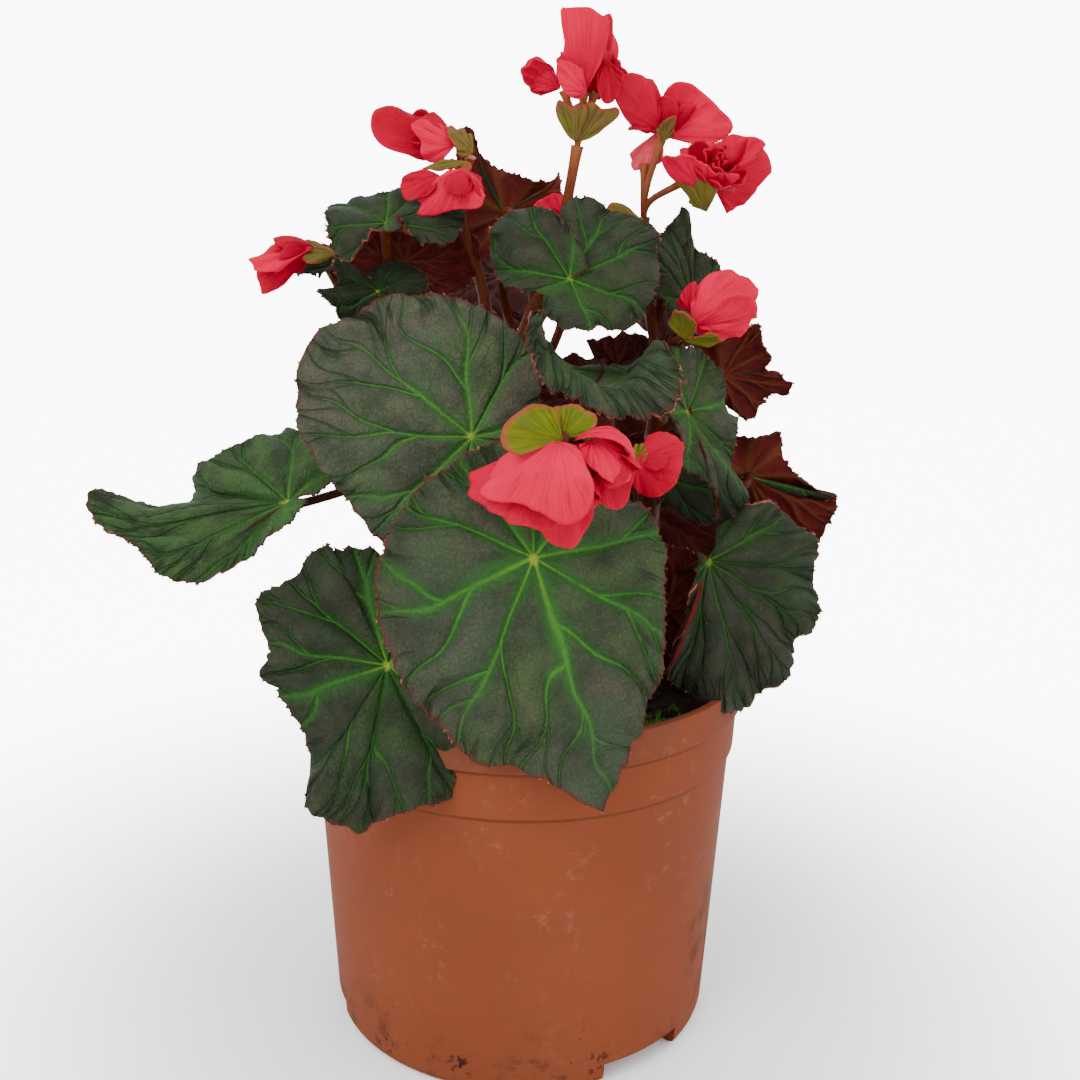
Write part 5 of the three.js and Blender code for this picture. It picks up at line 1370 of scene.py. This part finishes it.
class Blade:
    """A leaf's fine surface: its outline with teeth, its veins and its curled edges."""

    def __init__(self, name, leaf, settings):
        self.leaf = leaf
        self.trace = Trace(leaf) if leaf.edge else None
        self.outline = self.trace.length if self.trace else outline_of(leaf)
        self.matrix = placement(leaf)
        self.key = sum(ord(letter) * (k + 3) for k, letter in enumerate(name)) % 97
        radii = sum(self.outline(-BLADE_LIMIT + k * BLADE_LIMIT / 30) for k in range(61))
        self.around = radii / 61 * 2 * BLADE_LIMIT
        self.teeth = max(20, round(self.around * MM / settings.tooth_spacing))
        self.depth = settings.tooth_depth / MM * min(1, 0.45 + leaf.size / 90)

    def turn(self, theta, distance):
        """Which main vein the angle lies at: whole numbers are on one."""
        wander = noise.noise((theta * 1.3, self.key, 0.5)) * 0.3
        wiggle = noise.noise((theta * 3, distance * 4, self.key)) * 0.16 * min(1, distance * 3)
        return (theta + BLADE_LIMIT) / VEIN_SECTOR + 0.5 + wander + wiggle

    def tooth(self, theta):
        """How deep the edge is cut there. It is cut deeper in a frayed stretch."""
        place = (theta + BLADE_LIMIT) / (2 * BLADE_LIMIT) * self.teeth
        place += noise.noise((theta * 2.2, self.key, 3.1)) * 1.4
        depth = 0.35 + 1.7 * abs(noise.noise((math.floor(place) * 7.7, self.key, 1.3)))
        if self.leaf.frayed is not None:
            depth *= 1 + 3.6 * max(0, 1 - abs(theta - self.leaf.frayed) / FRAYED_WIDTH)
        return depth * abs(2 * (place % 1) - 1) ** 0.8

    def relief(self, theta, share, distance):
        """The height of the veins, puckers and waves over the smooth blade."""
        size = self.leaf.size
        offset = vein_offset(self.turn(theta, distance), distance)
        lift = (min(1, offset / 0.07) - 0.75) * 0.95 * min(1, distance * 5) * size / 50
        lift += max(0, share - 0.55) ** 2 * 5 * noise.noise((theta * 6, share * 2, self.key + 5.5))
        lift += max(0, share - 0.70) ** 2 * 12 * noise.noise((theta * 15, share * 1.5, self.key))
        return lift + 1.6 * share * noise.noise((theta * 1.6, share * 1.5, self.key + 2.5))

    def placed(self, theta, share):
        """A point of the finished blade, share being the part of the way from hub to edge."""
        leaf = self.leaf
        outline = self.outline(theta)
        outline *= 1 + 0.02 * noise.noise((theta * 4.5, self.key, 9.0))
        outline *= 1 + leaf.point * max(0, 1 - abs(theta) / POINT_WIDTH) ** 1.5
        radius = outline * share - max(0, (share - 0.8) / 0.2) ** 3 * self.depth * self.tooth(theta)
        lift = self.relief(theta, share, outline * share / leaf.size)
        if not self.trace:
            lift += leaf.size / 30 * share * theta / math.pi
            return self.matrix @ sheet_point(leaf, theta, radius, lift) * MM
        inner = radius / outline
        lift += leaf.wave * share ** 2 * swell(leaf, theta)
        lift += leaf.lap * share * max(0, (theta - LAP_START) / (BLADE_LIMIT - LAP_START)) ** 1.5
        lift += (1 - leaf.bowl) * outline / 16 * 4 * share * (1 - share)
        return (self.trace.point(theta, inner) + self.trace.normal(theta, inner) * lift) * MM

    def edge_frame(self, theta):
        """A point of the edge, and the directions outward and along the edge there."""
        edge, inner = self.placed(theta, 0.995), self.placed(theta, 0.93)
        along = self.placed(theta + 0.02, 0.995) - edge
        return edge, (edge - inner).normalized(), along.normalized()


def lay_uv(verts, layers, coordinates):
    """Writes each vertex's coordinates to the UV layers of its face corners."""
    for face in {face for vert in verts for face in vert.link_faces}:
        for loop in face.loops:
            for layer, uv in zip(layers, coordinates[loop.vert]):
                loop[layer].uv = uv


def blade_piece(name, blade, settings, materials):
    leaf = blade.leaf
    shape = bmesh.new()
    bmesh.ops.create_grid(
        shape, x_segments=min(260, max(100, blade.teeth * 4)),
        y_segments=26 if leaf.size > 28 else 16, size=1)
    maps = [shape.loops.layers.uv.new(layer) for layer in ("veins", "flat")]
    share_layer = shape.verts.layers.float.new("share")
    rim_layer = shape.verts.layers.float.new("rim")
    looks = {look: shape.verts.layers.float.new(look) for look in ("tone", "green", "vivid")}
    coordinates = {}
    for vert in shape.verts:
        theta = vert.co.x * BLADE_LIMIT
        share = 1 - (1 - (vert.co.y + 1) / 2) ** 1.3
        distance = blade.outline(theta) * share / leaf.size
        coordinates[vert] = (
            (blade.turn(theta, distance), distance),
            (distance * math.sin(theta) + blade.key, distance * math.cos(theta)))
        vert[share_layer] = share
        # The rim also runs along both ends of the blade, beside the stalk slit.
        from_end = share * (1 - abs(vert.co.x)) * BLADE_LIMIT
        vert[rim_layer] = max(share, 1 - from_end if share > 0.12 else 0)
        for look, layer in looks.items():
            vert[layer] = getattr(leaf, look)
        vert.co = blade.placed(theta, share)
    lay_uv(shape.verts, maps, coordinates)
    hub = [vert for vert in shape.verts if vert[share_layer] < 1e-6]
    bmesh.ops.remove_doubles(shape, verts=hub, dist=1e-5)
    made = piece_of(shape, f"leaf_{name}_blade", materials, "leaf", f"leaf_{name}")
    wall = thicken(made, settings.thickness)
    wall.material_offset, wall.material_offset_rim = 1, 2


def add_teeth(shape, blade, settings, draw):
    """Small flat teeth along a blade's edge."""
    count = int(blade.around / FRINGE_SPACING)
    for k in range(count):
        theta = ((k + draw.uniform(0.1, 0.9)) / count * 2 - 1) * BLADE_LIMIT
        edge, out, along = blade.edge_frame(theta)
        up = out.cross(along).normalized()
        along = up.cross(out)
        depth = settings.tooth_depth * draw.uniform(0.3, 0.9)
        matrix = Matrix((along, up * 0.3, out)).transposed().to_4x4()
        matrix.translation = edge + out * depth * 0.3
        bmesh.ops.create_cone(
            shape, cap_ends=True, segments=4, radius1=depth * draw.uniform(0.6, 1.0),
            radius2=TOOTH_END, depth=depth, matrix=matrix)


def add_hairs(shape, blade, settings, draw):
    """Short stiff hairs along a blade's edge, leaning outwards."""
    for _ in range(int(blade.around / FRINGE_SPACING)):
        edge, out, along = blade.edge_frame(draw.uniform(-BLADE_LIMIT, BLADE_LIMIT))
        up = out.cross(along)
        way = (out + along * draw.uniform(-0.5, 0.5) + up * draw.uniform(-0.5, 0.5)).normalized()
        reach = settings.hair_length * draw.uniform(0.6, 1.3)
        turn = Vector((0, 0, 1)).rotation_difference(way).to_matrix().to_4x4()
        bmesh.ops.create_cone(
            shape, cap_ends=True, segments=3, radius1=HAIR_FOOT, radius2=HAIR_END, depth=reach,
            matrix=Matrix.Translation(edge + way * reach * 0.42) @ turn)


class BEGONIA_OT_leaves(bpy.types.Operator):
    """Shape the leaf blades with their teeth, veins and edge hairs"""

    bl_idname = "begonia.leaves"
    bl_label = "Leaves"

    def execute(self, context):
        settings = context.scene.begonia_leaves
        margin = margin_material(settings)
        materials = [upper_material(settings), under_material(settings), margin]
        draw = random.Random(settings.seed)
        for name, leaf in LEAVES.items():
            blade = Blade(name, leaf, settings)
            blade_piece(name, blade, settings, materials)
            hairs = bmesh.new()
            add_teeth(hairs, blade, settings, draw)
            add_hairs(hairs, blade, settings, draw)
            piece_of(hairs, f"leaf_{name}_hairs", [margin], "leaf")
        return {"FINISHED"}


# Blooms


def petal_point(layer, length, half_spread, u, v, twist, ruffle):
    """A point of a petal: u runs across it from -1 to 1 and v out from its foot."""
    first, last = math.radians(layer["base"]), math.radians(layer["rim"])
    turn = (last - first) / length
    end = first + turn * length * v * (1 - 0.32 * abs(u) ** 2.6)
    radius = (math.cos(first) - math.cos(end)) / turn
    rise = (math.sin(end) - math.sin(first)) / turn
    wave = ruffle * (math.sin(u * 5.2 + twist) + 0.6 * math.sin(u * 11 + twist * 2.3)) * v ** 2
    crease = 0.7 * noise.noise((u * 2.2, v * 1.2, twist)) * v
    radius += 0.9 * u * v + 0.35 + (wave + crease) * math.cos(end)
    rise -= (wave + crease) * math.sin(end)
    return u * half_spread * (1 - 0.12 * v), max(radius, 0.02), rise


def add_petals(shape, layers, core, depth, ruffle, key):
    """One round of overlapping petals."""
    uv, tone = layers
    base, axis, length, habit, spin = core
    layer = HABITS[habit][depth]
    turn = Vector((0, 0, 1)).rotation_difference(Vector(axis).normalized()).to_matrix().to_4x4()
    matrix = Matrix.Translation(base) @ turn @ Matrix.Rotation(math.radians(spin), 4, "Z")
    half_spread = math.pi / layer["petals"] * PETAL_OVERLAP
    for index in range(layer["petals"]):
        centre = (index + 0.5) / layer["petals"] * math.tau
        twist = key * 1.7 + index * 2.1
        made = bmesh.ops.create_grid(shape, x_segments=22, y_segments=16, size=1)["verts"]
        coordinates = {}
        for vert in made:
            u, v = vert.co.x, (vert.co.y + 1) / 2
            coordinates[vert] = [((u + 1) / 2, v)]
            vert[tone] = CORE_TONE
            angle, radius, rise = petal_point(
                layer, length * layer["share"], half_spread, u, v, twist, ruffle * length / 25)
            angle += centre
            place = (radius * math.cos(angle), radius * math.sin(angle), layer["lift"] + rise)
            vert.co = matrix @ Vector(place) * MM
        lay_uv(made, [uv], coordinates)


def add_sheet(shape, layers, petal, ruffle, key):
    """One petal or bract, from its outline and its bends."""
    uv, tone = layers
    outline, matrix = outline_of(petal), placement(petal)
    made = bmesh.ops.create_grid(shape, x_segments=36, y_segments=20, size=1)["verts"]
    coordinates = {}
    for vert in made:
        theta, share = vert.co.x * math.radians(petal.fan), (vert.co.y + 1) / 2
        coordinates[vert] = [((vert.co.x + 1) / 2, share)]
        vert[tone] = petal.tone
        folds = noise.noise((theta * 7, share * 0.7, key)) * 1.3 * share
        wave = math.sin(theta * 9 + key) + 0.6 * math.sin(theta * 21 + key * 2.3)
        lift = folds + ruffle * petal.size / 20 * wave * max(0, share - 0.4) ** 1.5
        lift += 0.6 * share * noise.noise((theta * 2, share * 2.5, key + 7.7))
        vert.co = matrix @ sheet_point(petal, theta, outline(theta) * share, lift) * MM
    lay_uv(made, [uv], coordinates)
    foot = [vert for vert in made if coordinates[vert][0][1] < 1e-6]
    bmesh.ops.remove_doubles(shape, verts=foot, dist=1e-5)


def sheets(petals, core, ruffle, key):
    """The mesh of a bloom's outer petals or bracts, with the rounds of its core."""
    shape = bmesh.new()
    shape.loops.layers.uv.new("petal")
    shape.verts.layers.float.new("tone")
    layers = shape.loops.layers.uv["petal"], shape.verts.layers.float["tone"]
    for index, petal in enumerate(petals):
        add_sheet(shape, layers, petal, ruffle, key + index * 3.3)
    if core:
        for depth in range(len(HABITS[core[3]])):
            add_petals(shape, layers, core, depth, ruffle, key + depth * 5)
    return shape


class BEGONIA_OT_blooms(bpy.types.Operator):
    """Shape the petals and bracts of each bloom and bud"""

    bl_idname = "begonia.blooms"
    bl_label = "Blooms"

    def execute(self, context):
        settings = context.scene.begonia_blooms
        coral, olive = petal_material(settings), bract_material(settings)
        ruffle = settings.ruffle / MM
        for key, name in enumerate(dict.fromkeys([*CORES, *PETALS])):
            shape = sheets(PETALS.get(name, ()), CORES.get(name), ruffle, key)
            made = piece_of(shape, f"bloom_{name}_petals", [coral], "petal", f"bloom_{name}")
            thicken(made, settings.petal_thickness)
            if name in BRACTS:
                shape = sheets(BRACTS[name], None, ruffle * 0.4, key + 50)
                made = piece_of(shape, f"calyx_{name}_bracts", [olive], "bract", f"calyx_{name}")
                thicken(made, settings.bract_thickness)
        return {"FINISHED"}


# Stage


class BEGONIA_OT_stage(bpy.types.Operator):
    """Lay the floor and set the camera and the lights"""

    bl_idname = "begonia.stage"
    bl_label = "Stage"

    bend_radius, wall_height, bend_steps, sides = 700, 1300, 12, 96
    sensor_width, frame_pixels = 36, 1080
    lit_height = 0.15

    def add_floor(self, settings):
        edge = settings.floor_radius / MM - self.bend_radius
        profile = [(0, 0), (edge, 0)]
        for k in range(1, self.bend_steps + 1):
            angle = math.pi / 2 * k / self.bend_steps
            profile.append((
                edge + self.bend_radius * math.sin(angle),
                self.bend_radius * (1 - math.cos(angle))))
        profile.append((settings.floor_radius / MM, self.wall_height))
        data = dressed(mesh_of(spun(profile, self.sides), "floor"), [floor_material()])
        floor = new_object(data, "floor")

    def add_camera(self, settings):
        lens = bpy.data.cameras.new("camera")
        lens.sensor_width = self.sensor_width
        lens.lens = self.sensor_width * settings.focal_pixels / self.frame_pixels
        lens.clip_start, lens.clip_end = 0.01, 20
        camera = new_object(lens, "camera")
        camera.location = settings.camera_place
        pitch, yaw = settings.camera_pitch, settings.camera_yaw
        forward = Vector((
            math.sin(yaw) * math.cos(pitch), math.cos(yaw) * math.cos(pitch), -math.sin(pitch)))
        level = forward.to_track_quat("-Z", "Y").to_matrix()
        camera.rotation_mode = "QUATERNION"
        camera.rotation_quaternion = (
            level @ Matrix.Rotation(settings.camera_roll, 3, "Z")).to_quaternion()
        bpy.context.scene.camera = camera

    def add_light(self, name, place, size, power):
        lamp = bpy.data.lights.new(name, "AREA")
        lamp.shape, lamp.size, lamp.energy = "DISK", size, power
        made = new_object(lamp, name)
        made.location = place
        made.rotation_mode = "QUATERNION"
        aim = Vector((0, 0, self.lit_height)) - Vector(place)
        made.rotation_quaternion = aim.to_track_quat("-Z", "Y")

    def execute(self, context):
        settings = context.scene.begonia_stage
        self.add_floor(settings)
        self.add_camera(settings)
        self.add_light("key_light", (-0.9, -1.1, 1.35), 1.1, settings.key_power)
        self.add_light("fill_light", (1.2, -0.7, 0.7), 1.2, settings.fill_power)
        self.add_light("back_light", (0.3, 1.3, 1.3), 1.2, settings.fill_power)
        world = bpy.data.worlds.new("studio")
        world.use_nodes = True
        sky = world.node_tree.nodes["Background"].inputs
        sky["Color"].default_value = (1, 1, 1, 1)
        sky["Strength"].default_value = settings.sky
        context.scene.world = world
        return {"FINISHED"}


STEPS = (
    ("begonia_pot", BegoniaPotSettings, BEGONIA_OT_pot),
    ("begonia_soil", BegoniaSoilSettings, BEGONIA_OT_soil),
    ("begonia_stems", BegoniaStemSettings, BEGONIA_OT_stems),
    ("begonia_leaves", BegoniaLeafSettings, BEGONIA_OT_leaves),
    ("begonia_blooms", BegoniaBloomSettings, BEGONIA_OT_blooms),
    ("begonia_stage", BegoniaStageSettings, BEGONIA_OT_stage),
)


class BEGONIA_PT_sidebar(bpy.types.Panel):
    """Lists the sizes, the colours and the steps"""

    bl_idname = "BEGONIA_PT_sidebar"
    bl_label = "Potted begonia"
    bl_space_type = "VIEW_3D"
    bl_region_type = "UI"
    bl_category = "Begonia"

    def draw(self, context):
        for owner, _, operator in STEPS:
            box = self.layout.box()
            settings = getattr(context.scene, owner)
            for name in settings.__annotations__:
                box.prop(settings, name)
            box.operator(operator.bl_idname)


def register():
    for owner, settings, operator in STEPS:
        bpy.utils.register_class(settings)
        setattr(bpy.types.Scene, owner, PointerProperty(type=settings))
        bpy.utils.register_class(operator)
    bpy.utils.register_class(BEGONIA_PT_sidebar)


def unregister():
    bpy.utils.unregister_class(BEGONIA_PT_sidebar)
    for owner, settings, operator in reversed(STEPS):
        bpy.utils.unregister_class(operator)
        delattr(bpy.types.Scene, owner)
        bpy.utils.unregister_class(settings)


def main():
    register()
    bpy.ops.begonia.pot()
    bpy.ops.begonia.soil()
    bpy.ops.begonia.stems()
    bpy.ops.begonia.leaves()
    bpy.ops.begonia.blooms()
    bpy.ops.begonia.stage()
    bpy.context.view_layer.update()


if __name__ == "__main__":
    main()
